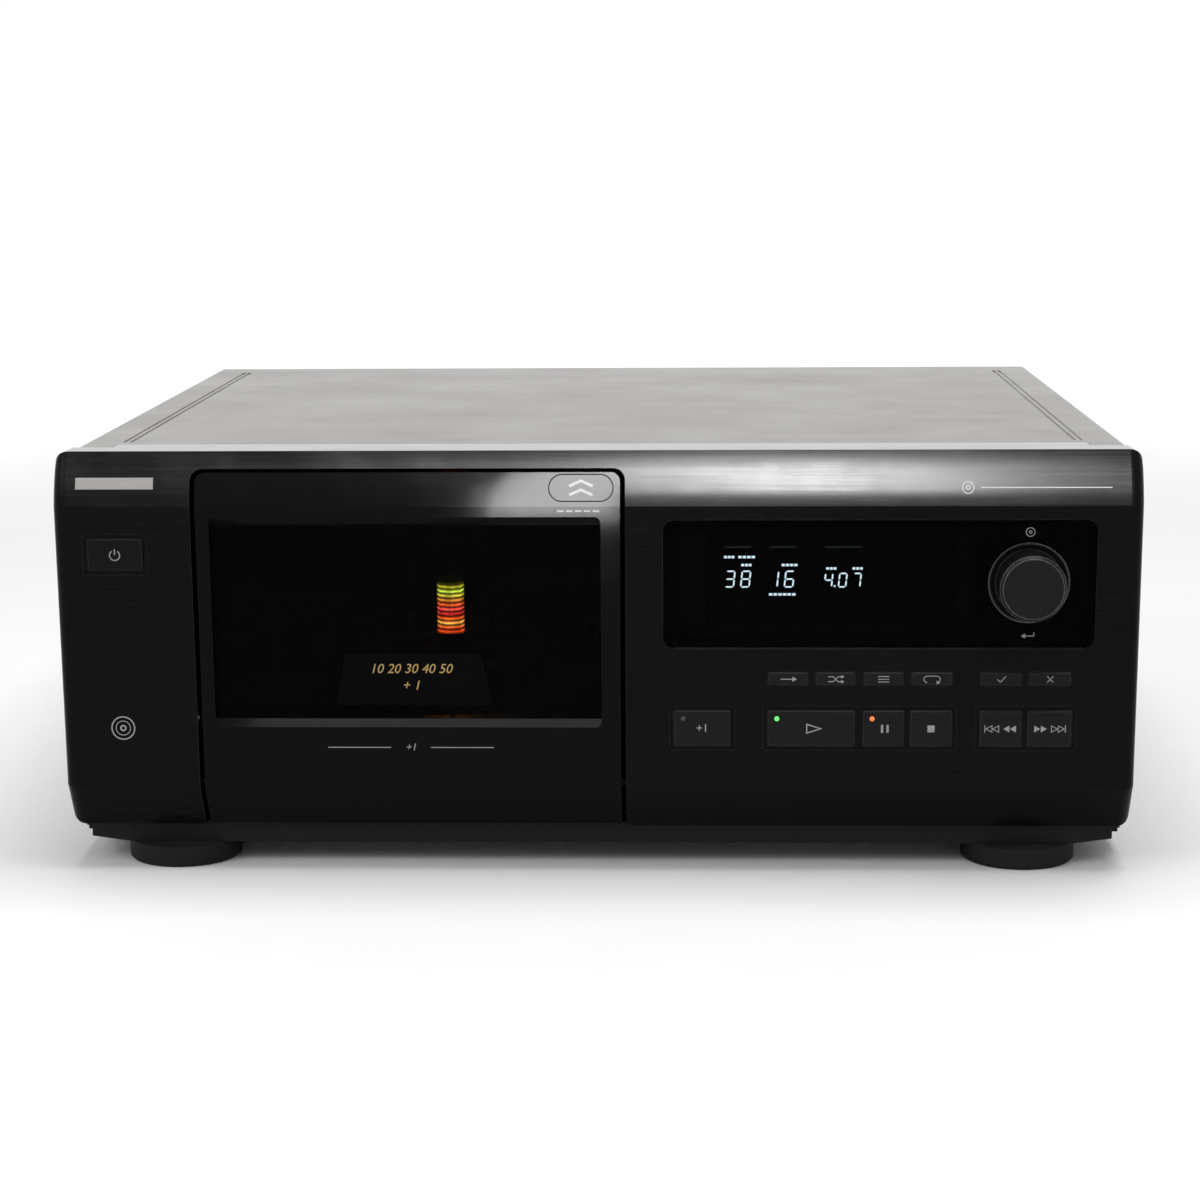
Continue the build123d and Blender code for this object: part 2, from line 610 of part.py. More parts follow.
def base_chassis():
    """Folded steel pan: floor, side flanges, axle pins, standoffs and the motor's bridge."""
    front = behind(PANEL_DEPTH)
    outer = HALF - COVER_SHEET
    t = CHASSIS_SHEET
    top = FOOT_HEIGHT + CHASSIS_FLANGE
    pan = block(-outer, outer, front, REAR_IN, FOOT_HEIGHT, FLOOR_TOP)
    for side in (-1, 1):
        x0, x1 = sorted((side * outer, side * (outer - t)))
        pan += block(x0, x1, front, REAR_IN, FOOT_HEIGHT, top)
    pan += block(-outer, outer, front, front + t, FOOT_HEIGHT, FLOOR_TOP + CHASSIS_LIP)
    pan += block(-outer, outer, REAR_IN - t, REAR_IN, FOOT_HEIGHT, FLOOR_TOP + CHASSIS_LIP)
    for k in range(9):
        x = MAIN_BOARD[0] + 22 + k * 12
        pan -= block(x, x + 4, behind(235.0), behind(310.0), FOOT_HEIGHT - 1, FLOOR_TOP + 1)
    for side in (-1, 1):
        pan -= rod_z(side * FOOT_X, behind(FOOT_REAR), SCREW_RADIUS + RUNNING_FIT, 0, FLOOR_TOP + 1)
        for x, y, z in side_screw_places():
            pan -= rod_x(y, z, SCREW_RADIUS + RUNNING_FIT, x - SCREW_LENGTH, x + SCREW_LENGTH)
    for x, z in rear_screw_places():
        pan -= rod_y(x, z, SCREW_RADIUS + RUNNING_FIT, REAR_IN - 3, REAR_IN + 1)
    pan += rod_z(TABLE_X, IDLER_Y, AXLE_RADIUS, FOOT_HEIGHT, IDLER_TOP + 1)
    for x, y in MAIN_BOARD_POSTS:
        pan += rod_z(x, y, BOSS_RADIUS, FOOT_HEIGHT, MAIN_BOARD_Z)
    # bridge that carries the table's motor over its pinion
    pan += block(BRIDGE_LEFT, BRIDGE_RIGHT, BRIDGE_FRONT, BRIDGE_BACK, BRIDGE_Z, BRIDGE_Z + t)
    for x in (BRIDGE_LEFT, BRIDGE_RIGHT - t):
        pan += block(x, x + t, BRIDGE_FRONT, BRIDGE_BACK, FOOT_HEIGHT, BRIDGE_Z + t)
    pan -= rod_z(TABLE_X, PINION_Y, MOTOR_SHAFT + 1.5, BRIDGE_Z - 1, BRIDGE_Z + t + 1)
    return pan


def rear_panel():
    """Back plate with the holes for its connectors and the cord's bush."""
    outer = HALF - COVER_SHEET - SEAM
    plate = block(-outer, outer, REAR_IN, REAR_OUT, FOOT_HEIGHT, COVER_UNDERSIDE - SEAM)
    plate = fillet(plate.edges().filter_by(Axis.Y).group_by(Axis.Z)[-1], COVER_BEND)
    for z in PHONO_Z:
        plate -= rod_y(PHONO_X, z, PHONO_COLLAR + SLIDE_GAP, REAR_IN - 1, REAR_OUT + 1)
    plate -= block(OPTICAL_X - 5, OPTICAL_X + 5, REAR_IN - 1, REAR_OUT + 1, SOCKET_Z - 5, SOCKET_Z + 5)
    for x in CONTROL_X:
        plate -= rod_y(x, SOCKET_Z, CONTROL_BORE + 1.7, REAR_IN - 1, REAR_OUT + 1)
    plate -= rod_y(GLAND_X, GLAND_Z, GLAND_RADIUS - 1.5, REAR_IN - 1, REAR_OUT + 1)
    for x, z in rear_screw_places():
        plate -= rod_y(x, z, SCREW_RADIUS + RUNNING_FIT, REAR_IN - 1, REAR_OUT + 1)
    for k in range(VENT_SLOTS):
        x = TABLE_X + 14 + k * VENT_PITCH
        plate -= tile(x, x + VENT_WIDTH, VENT_BOTTOM, VENT_TOP, VENT_WIDTH / 2 - 0.1,
                      REAR_IN - 1, REAR_OUT + 1)
    return plate


def foot(x, y):
    """Round foot: a tapered cup with a rubber ring's lip and a hollow for its screw."""
    cup = rod_z(x, y, FOOT_RADIUS, 0, FOOT_HEIGHT)
    cup = chamfer(cup.edges().filter_by(GeomType.CIRCLE).group_by(Axis.Z)[0], 1.0)
    cup -= rod_z(x, y, FOOT_RADIUS - 6, -1, 1.2)
    cup -= rod_z(x, y, SCREW_HEAD + SLIDE_GAP, 1.0, FOOT_HEIGHT - 3)
    return cup - rod_z(x, y, SCREW_RADIUS + RUNNING_FIT, 0, FOOT_HEIGHT + 1)


def machine_screws():
    """Screws of the cover, the rear panel, the feet and the boards behind the panel."""
    screws = []
    for x, y, z in side_screw_places():
        side = 1 if x > 0 else -1
        turned = screw_y(0, 0, 0, SCREW_LENGTH, 1)
        screws.append(Pos(x, y, z) * Rot(0, 0, -90 * side) * turned)
    for x, z in rear_screw_places():
        screws.append(screw_y(x, z, REAR_OUT, SCREW_LENGTH, 1))
    for side in (-1, 1):
        for d in (FOOT_FRONT, FOOT_REAR):
            upright = Rot(-90, 0, 0) * screw_y(0, 0, 0, FOOT_SCREW_LENGTH, 1)
            screws.append(Pos(side * FOOT_X, behind(d), FOOT_HEIGHT - 3) * upright)
    for x, z in BOARD_BOSSES + POWER_BOSSES:
        screws.append(screw_y(x, z, behind(BOARD_BACK + BOARD_THICKNESS), 7, 1))
    return Compound(children=screws)


# ---------------------------------------------------------------- door
def door_frame():
    """Door shell with the panel's own section, a window opening, hinge ears and a damper sector."""
    shell = panel_solid(DOOR_LEFT, DOOR_RIGHT)
    outline = tile(DOOR_LEFT, DOOR_RIGHT, DOOR_BOTTOM - 20, DOOR_TOP, DOOR_CORNER,
                   behind(-1), behind(DOOR_RETURN))
    floor = block(DOOR_LEFT, DOOR_RIGHT, behind(-1), behind(DOOR_RETURN + 1), DOOR_BOTTOM, DOOR_TOP)
    shell = shell & outline & floor
    hollow = panel_solid(DOOR_LEFT + DOOR_WALL, DOOR_RIGHT - DOOR_WALL, DOOR_WALL, PANEL_DEPTH)
    room = block(DOOR_LEFT, DOOR_RIGHT, behind(-1), behind(PANEL_DEPTH),
                 DOOR_BOTTOM + DOOR_WALL, DOOR_TOP - DOOR_WALL)
    shell -= hollow & room
    bevel = extrude_x([
        (behind(-1), WINDOW_BOTTOM), (behind(0), WINDOW_BOTTOM),
        (behind(DOOR_WALL), WINDOW_BOTTOM + WINDOW_BOTTOM_BEVEL),
        (behind(DOOR_WALL + 1), WINDOW_BOTTOM + WINDOW_BOTTOM_BEVEL),
        (behind(DOOR_WALL + 1), WINDOW_TOP - WINDOW_TOP_BEVEL),
        (behind(DOOR_WALL), WINDOW_TOP - WINDOW_TOP_BEVEL),
        (behind(0), WINDOW_TOP), (behind(-1), WINDOW_TOP),
    ], WINDOW_LEFT, WINDOW_RIGHT)
    corners = tile(WINDOW_LEFT, WINDOW_RIGHT, WINDOW_BOTTOM, WINDOW_TOP, WINDOW_CORNER,
                   behind(-2), behind(DOOR_WALL + 2))
    shell -= bevel & corners
    # striker that meets the push catch, and the toothed sector that turns the damper
    shell += block(STRIKER_X - 3, STRIKER_X + 3, behind(DOOR_WALL - 0.5), behind(STRIKER_BACK),
                   STRIKER_Z - 2, STRIKER_Z + 2)
    arc = [(0.0, 0.0)]
    arc += gear_outline(SECTOR_TEETH, FINE_MODULE, -SECTOR_BELOW, SECTOR_BELOW + 2)
    sector = Rot(0, 0, DAMPER_ANGLE) * extrude_z(arc, 0, GEAR_FACE)
    shell += Pos(SECTOR_X, behind(HINGE_BACK), HINGE_Z) * facing_right(sector)
    shell += rod_x(behind(HINGE_BACK), HINGE_Z, 3 * HINGE_PIN_RADIUS,
                   DOOR_LEFT + DOOR_WALL - 0.5, SECTOR_X + 1)
    for x in (DOOR_LEFT, DOOR_RIGHT - DOOR_WALL):
        shell -= rod_x(behind(HINGE_BACK), HINGE_Z, HINGE_PIN_RADIUS, x - 1, x + DOOR_WALL + GEAR_FACE)
    return shell


def door_window():
    """Smoked pane behind the door's wall."""
    return tile(WINDOW_LEFT - WINDOW_LAP, WINDOW_RIGHT + WINDOW_LAP,
                WINDOW_BOTTOM + WINDOW_BOTTOM_BEVEL - WINDOW_LAP, WINDOW_TOP - WINDOW_TOP_BEVEL + WINDOW_LAP,
                WINDOW_CORNER, behind(DOOR_WALL), behind(DOOR_WALL + WINDOW_PANE))


def door_hinge_pins():
    """Two steel pins, each through a door wall, the gap and a cheek of the panel."""
    left = rod_x(behind(HINGE_BACK), HINGE_Z, HINGE_PIN_RADIUS,
                 DOOR_LEFT - DOOR_GAP - PANEL_WALL, DOOR_LEFT + DOOR_WALL)
    right = rod_x(behind(HINGE_BACK), HINGE_Z, HINGE_PIN_RADIUS,
                  DOOR_RIGHT - DOOR_WALL, DOOR_RIGHT + DOOR_GAP + PANEL_WALL)
    return Compound(children=[left, right])


def door_catch():
    """Housing of the push catch, under the panel's top wall, with a bore for its plunger."""
    housing = block(STRIKER_X - 7, STRIKER_X + 7, behind(CATCH_FRONT), behind(CATCH_FRONT + CATCH_DEPTH),
                    STRIKER_Z - 6, PANEL_TOP - PANEL_WALL)
    housing = housing & panel_hollow(STRIKER_X - 8, STRIKER_X + 8)
    return housing - rod_y(STRIKER_X, STRIKER_Z, CATCH_PLUNGER + RUNNING_FIT, behind(CATCH_FRONT - 1),
                           behind(CATCH_FRONT + CATCH_DEPTH - 1.5))


def catch_plunger():
    """Plunger of the push catch, out against the door's striker."""
    return rod_y(STRIKER_X, STRIKER_Z, CATCH_PLUNGER, behind(STRIKER_BACK + SLIDE_GAP),
                 behind(CATCH_FRONT + CATCH_DEPTH - 2 - CATCH_TRAVEL))


def door_damper():
    """Can of the rotary damper on the left cheek, with its axle."""
    x0 = DOOR_LEFT - DOOR_GAP
    can = rod_x(DAMPER_Y, DAMPER_Z, DAMPER_RADIUS, x0, SECTOR_X - 1)
    return can + rod_x(DAMPER_Y, DAMPER_Z, AXLE_RADIUS, x0, SECTOR_X + GEAR_FACE + 1)


def damper_gear():
    """Small gear on the damper's axle, in mesh with the door's sector."""
    turn = DAMPER_ANGLE + 180 + 180 / DAMPER_TEETH
    wheel = gear(DAMPER_TEETH, FINE_MODULE, GEAR_FACE, AXLE_RADIUS + RUNNING_FIT, turn)
    return Pos(SECTOR_X, DAMPER_Y, DAMPER_Z) * facing_right(wheel)


SECTOR_X = DOOR_LEFT + DOOR_WALL + 1.5
SECTOR_BELOW = 10            # teeth of the sector below the one in mesh
DAMPER_ANGLE = 55.0          # from straight back, up to the damper's axle
DAMPER_CENTRES = (SECTOR_TEETH + DAMPER_TEETH) * FINE_MODULE / 2
DAMPER_Y = behind(HINGE_BACK) + DAMPER_CENTRES * cos(radians(DAMPER_ANGLE))
DAMPER_Z = HINGE_Z + DAMPER_CENTRES * sin(radians(DAMPER_ANGLE))
DAMPER_RADIUS = 7.0
STRIKER_X = DOOR_RIGHT - PUSH_INSET
STRIKER_Z = 154.0
STRIKER_BACK = 16.0
CATCH_FRONT = 20.0
CATCH_DEPTH = 13.0
CATCH_PLUNGER = 2.0
CATCH_TRAVEL = 4.0


# ---------------------------------------------------------------- display, dial and keys
def display_window():
    """Smoked pane flush in the panel, with a round hole for the dial's ring."""
    pane = tile(DISPLAY_LEFT, DISPLAY_RIGHT, DISPLAY_BOTTOM, DISPLAY_TOP, DISPLAY_CORNER,
                behind(0), behind(DISPLAY_PANE))
    return pane - rod_y(DIAL_X, DIAL_Z, DIAL_RING_RADIUS + RUNNING_FIT, behind(-1), behind(DISPLAY_PANE + 1))


def display_tube():
    """Flat glass vacuum display with a row of legs on each long edge, on its board."""
    left = DISPLAY_LEFT + TUBE_MARGIN
    right = left + TUBE_WIDTH
    front = BOARD_BACK - TUBE_THICKNESS
    glass = block(left, right, behind(front), behind(BOARD_BACK), TUBE_BOTTOM, TUBE_TOP)
    glass = chamfer(glass.edges().filter_by(Axis.X).group_by(Axis.Y)[0], 1.0)
    tip = rod_x(behind(front + TUBE_THICKNESS / 2), (TUBE_BOTTOM + TUBE_TOP) / 2, 2.0, right - 1, right + 5)
    return glass + tip


def boards(span, bosses):
    """One circuit board with holes for its screws."""
    left, right, low, high = span
    board = block(left, right, behind(BOARD_BACK), behind(BOARD_BACK + BOARD_THICKNESS), low, high)
    for x, z in bosses:
        board -= rod_y(x, z, SCREW_RADIUS + RUNNING_FIT, behind(BOARD_BACK - 1), behind(BOARD_BACK + 3))
    return board


def control_board():
    """The display's and keys' board, and the small one behind the power button."""
    return Compound(children=[boards(BOARD_SPAN, BOARD_BOSSES), boards(POWER_BOARD_SPAN, POWER_BOSSES)])


def panel_switches():
    """Tact switch behind each key, the power switch and the dial's encoder, on their boards."""
    parts = []
    for name in [*KEY_NAMES, "power_button"]:
        left, right, low, high = key_span(name)
        x = (left + right) / 2
        z = (low + high) / 2
        half = SWITCH_SIZE / 2
        height = SWITCH_HEIGHT - 0.8
        if name == "power_button":
            height += KEY_TRAVEL - POWER_TRAVEL
        body = block(x - half, x + half, behind(BOARD_BACK - height), behind(BOARD_BACK), z - half, z + half)
        parts.append(body + rod_y(x, z, 1.6, behind(BOARD_BACK - height - 0.8), behind(BOARD_BACK)))
    half = ENCODER_SIZE / 2
    encoder = block(DIAL_X - half, DIAL_X + half, behind(ENCODER_FRONT), behind(BOARD_BACK),
                    DIAL_Z - half, DIAL_Z + half)
    encoder += rod_y(DIAL_X, DIAL_Z, SHAFT_RADIUS + 1.4,
                     behind(ENCODER_FRONT - 1.5), behind(ENCODER_FRONT + 1))
    encoder -= rod_y(DIAL_X, DIAL_Z, SHAFT_RADIUS + RUNNING_FIT,
                     behind(ENCODER_FRONT - 3), behind(BOARD_BACK - 1))
    parts.append(encoder)
    return Compound(children=parts)


def key_cap(name):
    """Key: a bevelled cap through the panel, a lip behind it and a stem to its switch."""
    left, right, low, high = key_span(name)
    proud = KEY_PROUD if name != "power_button" else 0.4
    cap = tile(left, right, low, high, KEY_CORNER, behind(-proud), behind(PANEL_WALL + SLIDE_GAP + 0.5))
    cap = chamfer(cap.faces().sort_by(Axis.Y)[0].edges(), KEY_BEVEL)
    grow = KEY_FLANGE
    lip_front = PANEL_WALL + SLIDE_GAP
    cap += block(left - grow, right + grow, behind(lip_front), behind(lip_front + KEY_FLANGE_THICKNESS),
                 low - grow / 2, high + grow / 2)
    x = (left + right) / 2
    z = (low + high) / 2
    half = min(KEY_STEM, high - low) / 2
    cap += block(x - half, x + half, behind(lip_front), behind(STEM_END), z - half, z + half)
    if name in LAMP_KEYS:
        cap -= rod_y(left + LAMP_INSET, LAMP_Z, LAMP_RADIUS, behind(-proud - 1), behind(0.6))
    return cap


ENCODER_SIZE = 12.0
ENCODER_FRONT = 9.0


def dial_ring():
    """Dished ring round the dial, let into the display's pane."""
    rim = tube_y(DIAL_X, DIAL_Z, DIAL_RING_RADIUS, SHAFT_RADIUS + SLIDE_GAP, behind(0), behind(DISPLAY_PANE))
    dish = cone_y(DIAL_X, DIAL_Z, DIAL_RING_RADIUS - 0.6, KNOB_RADIUS + SLIDE_GAP,
                  behind(-0.01), behind(DISPLAY_PANE - 0.6))
    return rim - dish


def dial_knob():
    """Turned knob, hollow behind, with a bevelled rim and a boss on the shaft."""
    back = DISPLAY_PANE - 0.6 - DIAL_TRAVEL - SLIDE_GAP
    rim = 1.2
    knob = rod_y(DIAL_X, DIAL_Z, KNOB_RADIUS, behind(-KNOB_PROTRUSION + rim), behind(back))
    knob += cone_y(DIAL_X, DIAL_Z, KNOB_FACE_RADIUS, KNOB_RADIUS,
                   behind(-KNOB_PROTRUSION), behind(-KNOB_PROTRUSION + rim))
    knob -= rod_y(DIAL_X, DIAL_Z, KNOB_RADIUS - KNOB_WALL, behind(-KNOB_PROTRUSION + 3), behind(back + 1))
    knob += rod_y(DIAL_X, DIAL_Z, SHAFT_RADIUS + 2, behind(-KNOB_PROTRUSION + 2), behind(back))
    return knob - rod_y(DIAL_X, DIAL_Z, SHAFT_RADIUS + RUNNING_FIT,
                        behind(-KNOB_PROTRUSION + 3.5), behind(back + 1))


def dial_shaft():
    """Encoder shaft that the knob turns on; it moves back when the knob is pushed."""
    return rod_y(DIAL_X, DIAL_Z, SHAFT_RADIUS,
                 behind(-KNOB_PROTRUSION + 3.7), behind(BOARD_BACK - 1.2 - DIAL_TRAVEL))


# ---------------------------------------------------------------- carousel
RING_PITCH_RADIUS = RING_TEETH * RING_MODULE / 2
RING_BASE = TABLE_BASE - RING_FACE
IDLER_SMALL_RADIUS = IDLER_SMALL_TEETH * RING_MODULE / 2
IDLER_BIG_RADIUS = IDLER_BIG_TEETH * FINE_MODULE / 2
IDLER_Y = TABLE_Y + RING_PITCH_RADIUS + IDLER_SMALL_RADIUS
IDLER_TOP = TABLE_BASE - 1.5
IDLER_BIG_Z = FLOOR_TOP + 2.5
PINION_Y = IDLER_Y + IDLER_BIG_RADIUS + PINION_TEETH * FINE_MODULE / 2
BRIDGE_Z = IDLER_BIG_Z + GEAR_FACE + 2.0
BRIDGE_LEFT = TABLE_X - 20
BRIDGE_RIGHT = TABLE_X + 20
BRIDGE_FRONT = PINION_Y - 9
BRIDGE_BACK = PINION_Y + 16


def disc_slot():
    """Cutter of one slot: the lower inner quarter of a disc, then a level way out to the rim."""
    half = DISC_RADIUS + 1
    start = DISC_SEAT_R - half
    low = TABLE_DECK
    edge = sqrt(half ** 2 - (DISC_Z - low) ** 2)
    corner = DISC_SEAT_R - edge
    middle = (DISC_SEAT_R - half * cos(pi / 4), DISC_Z - half * sin(pi / 4))
    outline = Wire([
        ThreePointArc((start, 0, DISC_Z), (middle[0], 0, middle[1]), (corner, 0, low)),
        Line((corner, 0, low), (TABLE_RADIUS + 2, 0, low)),
        Line((TABLE_RADIUS + 2, 0, low), (TABLE_RADIUS + 2, 0, DISC_Z)),
        Line((TABLE_RADIUS + 2, 0, DISC_Z), (start, 0, DISC_Z)),
    ])
    return Pos(0, -SLOT_WIDTH / 2, 0) * extrude(make_face(outline), amount=SLOT_WIDTH, dir=(0, 1, 0))


def rotary_table():
    """Table of fifty-one disc slots: deck, two rings of teeth, hub and the ring gear below."""
    deck = rod_z(0, 0, TABLE_RADIUS, TABLE_BASE, TABLE_DECK)
    rim = TABLE_RADIUS - OUTER_TEETH_WIDTH
    deck += rod_z(0, 0, TABLE_RADIUS, TABLE_DECK, TABLE_DECK + OUTER_TEETH_HEIGHT)
    deck -= rod_z(0, 0, rim, TABLE_DECK, TABLE_DECK + OUTER_TEETH_HEIGHT + 1)
    inner, outer = INNER_TEETH
    teeth = rod_z(0, 0, outer, TABLE_DECK, TABLE_DECK + INNER_TEETH_HEIGHT)
    deck += teeth - rod_z(0, 0, inner, TABLE_DECK, TABLE_DECK + INNER_TEETH_HEIGHT + 1)
    slot = disc_slot()
    deck -= [Rot(0, 0, 360 * k / DISC_COUNT) * slot for k in range(DISC_COUNT)]
    deck += rod_z(0, 0, HUB_RADIUS, TABLE_BASE, HUB_TOP)
    ring = gear(RING_TEETH, RING_MODULE, RING_FACE, RING_PITCH_RADIUS - RING_BAND, 90.0)
    deck += Pos(0, 0, RING_BASE) * ring
    deck -= rod_z(0, 0, POST_RADIUS + RUNNING_FIT, RING_BASE - 1, HUB_TOP + 1)
    notch = block(HUB_RADIUS - 2, HUB_RADIUS + 1, -1, 1, HUB_TOP - 4, HUB_TOP + 1)
    deck -= [Rot(0, 0, 360 * k / 17) * notch for k in range(17)]
    return Pos(TABLE_X, TABLE_Y, 0) * deck


def centre_post():
    """Fixed post with a flange that the table's hub sits and turns on."""
    post = rod_z(TABLE_X, TABLE_Y, POST_FLANGE, FLOOR_TOP, FLOOR_TOP + 4)
    post += rod_z(TABLE_X, TABLE_Y, HUB_RADIUS, FLOOR_TOP, TABLE_BASE)
    post += rod_z(TABLE_X, TABLE_Y, POST_RADIUS, FLOOR_TOP, POST_TOP)
    return post


def light_column():
    """Clear ribbed column that shows the table's lamp, on top of the post."""
    column = rod_z(0, 0, COLUMN_RADIUS - 0.8, POST_TOP, COLUMN_TOP)
    step = (COLUMN_TOP - POST_TOP) / COLUMN_RIBS
    for k in range(COLUMN_RIBS):
        low = POST_TOP + k * step
        column += rod_z(0, 0, COLUMN_RADIUS, low + step * 0.25, low + step * 0.75)
    column -= rod_z(0, 0, 2.6, POST_TOP - 1, COLUMN_TOP - 3)
    return Pos(TABLE_X, TABLE_Y, 0) * column


def reduction_gear():
    """Two gears in one: the big one from the motor below, the small one in mesh with the table."""
    big = gear(IDLER_BIG_TEETH, FINE_MODULE, GEAR_FACE, AXLE_RADIUS + RUNNING_FIT, 90.0)
    turn = 270.0 + 180 / IDLER_SMALL_TEETH
    height = IDLER_TOP - IDLER_BIG_Z - GEAR_FACE
    small = gear(IDLER_SMALL_TEETH, RING_MODULE, height, AXLE_RADIUS + RUNNING_FIT, turn)
    wheel = big + Pos(0, 0, GEAR_FACE) * small
    return Pos(TABLE_X, IDLER_Y, IDLER_BIG_Z) * wheel


def table_pinion():
    """Pinion on the table motor's shaft."""
    wheel = gear(PINION_TEETH, FINE_MODULE, GEAR_FACE, MOTOR_SHAFT + RUNNING_FIT, 270 + 180 / PINION_TEETH)
    return Pos(TABLE_X, PINION_Y, IDLER_BIG_Z) * wheel


def table_motor():
    """Motor can on its bridge, with its shaft down through it."""
    low = BRIDGE_Z + CHASSIS_SHEET
    can = rod_z(TABLE_X, PINION_Y, TABLE_MOTOR_RADIUS, low, low + TABLE_MOTOR_HEIGHT)
    can = fillet(can.edges().filter_by(GeomType.CIRCLE), 1.0)
    can += rod_z(TABLE_X, PINION_Y, MOTOR_SHAFT, IDLER_BIG_Z - 1, low + 1)
    return can + rod_z(TABLE_X, PINION_Y, 3, low + TABLE_MOTOR_HEIGHT, low + TABLE_MOTOR_HEIGHT + 1.5)


# ---------------------------------------------------------------- disc mechanism
RACK_PITCH_Z = DISC_Z + DISC_RADIUS + 2.2
RACK_BACK = 1.4
LOAD_PINION_X = MECH_LEFT + 10
LOAD_PINION_Z = RACK_PITCH_Z - PINION_TEETH * FINE_MODULE / 2
RAIL_Z = (160.8, 163.8)
RAIL_Y = (TABLE_Y + 8.5, TABLE_Y + 12.5)
RAIL_PLAY = 0.15             # between the saddle and the rail, each side
RACK_Y = (TABLE_Y + 7.5, TABLE_Y + 11.5)
PUSHER_X = (TABLE_X + 10, TABLE_X + 14)
SLEDGE_LEFT = SPINDLE_X + LENS_START - 7.5
SLEDGE_RIGHT = SLEDGE_LEFT + 18.5
SLED_Y = (TABLE_Y + 3.0, TABLE_Y + 10.5)
GUIDE_Y = TABLE_Y + 7.5
GUIDE_REACH = 16.0
SLED_PINION_X = SPINDLE_X + 20
SLED_RACK_Z = DISC_Z - GUIDE_REACH - 6
SLED_RACK_BACK = 1.6
CLAMP_PIN_Y = TABLE_Y - 10.5
CLAMP_PIN_Z = 162.0
CLAMP_ARM_Y = (TABLE_Y - 8.5, TABLE_Y - 6.5)
EARS_X = (SPINDLE_X - 16, SPINDLE_X + 13)
EAR_WIDTH = 3.0


def mech_frame():
    """Upright plate behind the disc, with its foot, the loading rail, ears and guide posts."""
    frame = block(MECH_LEFT, MECH_RIGHT, MECH_FRONT, MECH_BACK, FLOOR_TOP, MECH_TOP)
    frame += block(MECH_LEFT, MECH_RIGHT, MECH_FRONT, MECH_FRONT + MECH_FOOT,
                   FLOOR_TOP, FLOOR_TOP + MECH_SHEET)
    frame -= tile(MECH_LEFT + 12, SPINDLE_X - 22, 40, 130, 6, MECH_FRONT - 1, MECH_BACK + 1)
    frame -= rod_y(SPINDLE_X, DISC_Z, SPINDLE_RADIUS + 1.5, MECH_FRONT - 1, MECH_BACK + 1)
    frame -= rod_y(LOAD_PINION_X, LOAD_PINION_Z, MOTOR_SHAFT + 1, MECH_FRONT - 1, MECH_BACK + 1)
    # rail over the table, in front of the plate, and the tabs that carry it
    frame += block(PUSHER_X[0] - 8, SPINDLE_X - 10, *RAIL_Y, *RAIL_Z)
    frame += block(PUSHER_X[1] + LOAD_TRAVEL + 3, SPINDLE_X - 10, RAIL_Y[0], MECH_FRONT + 0.5, *RAIL_Z)
    # ears of the clamp arm, over the rack
    for x in EARS_X:
        ear = block(x, x + EAR_WIDTH, CLAMP_PIN_Y - 4, MECH_FRONT + 0.5, CLAMP_PIN_Z - 2.2, MECH_TOP + 1)
        frame += ear
        frame -= rod_x(CLAMP_PIN_Y, CLAMP_PIN_Z, CLAMP_PIN_RADIUS + RUNNING_FIT, x - 1, x + EAR_WIDTH + 1)
    # posts that hold the sled's guide rods, and the sled pinion's stub
    for x in (SLEDGE_LEFT - 3.5, MECH_RIGHT - 3):
        for side in (-1, 1):
            z = DISC_Z + side * GUIDE_REACH
            frame += block(x, x + 3, GUIDE_Y - 3, MECH_FRONT + 0.5, z - 3, z + 3)
            frame -= rod_x(GUIDE_Y, z, GUIDE_RADIUS, x - 1, x + 4)
    frame += rod_y(SLED_PINION_X, SLED_PINION_Z, AXLE_RADIUS, SLED_Y[0], MECH_FRONT + 0.5)
    return frame


SLED_PINION_Z = SLED_RACK_Z - PINION_TEETH * FINE_MODULE / 2


def loading_slide():
    """Slide on the rail: a saddle, a finger behind the disc and a long rack to the right."""
    left, right = PUSHER_X
    saddle = block(left - 8, right, RAIL_Y[0] - 2, RAIL_Y[1] + 2, RAIL_Z[0] - 2.4, RAIL_Z[1] + 1.4)
    saddle -= block(left - 9, right + 1, RAIL_Y[0] - RAIL_PLAY, RAIL_Y[1] + RAIL_PLAY,
                    RAIL_Z[0] - RAIL_PLAY, RAIL_Z[1] + RAIL_PLAY)
    root = RACK_PITCH_Z + DEDENDUM * FINE_MODULE
    rack = rack_teeth(FINE_MODULE, right - 2, LOAD_PINION_X + 5, RACK_PITCH_Z,
                      LOAD_PINION_X, *RACK_Y, RACK_BACK)
    arm = block(left - 8, right, TABLE_Y - 1, RACK_Y[1], root, RAIL_Z[0] - 1)
    finger = block(left, right, TABLE_Y - 0.8, TABLE_Y + 0.8, COLUMN_TOP + 22, root + 1)
    return saddle + rack + arm + finger


def loading_pinion():
    """Pinion under the slide's rack, on the loading motor's shaft."""
    turn = 90 + 180 / PINION_TEETH
    return gear_along_y(PINION_TEETH, FINE_MODULE, MOTOR_SHAFT + RUNNING_FIT,
                        LOAD_PINION_X, LOAD_PINION_Z, *RACK_Y, turn)


def loading_motor():
    """Geared motor behind the plate, its shaft through to the pinion."""
    radius = 10.0
    can = rod_y(LOAD_PINION_X, LOAD_PINION_Z, radius, MECH_BACK, MECH_BACK + 20)
    can = fillet(can.edges().filter_by(GeomType.CIRCLE).group_by(Axis.Y)[-1], 1.0)
    can += rod_y(LOAD_PINION_X, LOAD_PINION_Z, MOTOR_SHAFT, RACK_Y[0] - 0.5, MECH_BACK + 1)
    return can


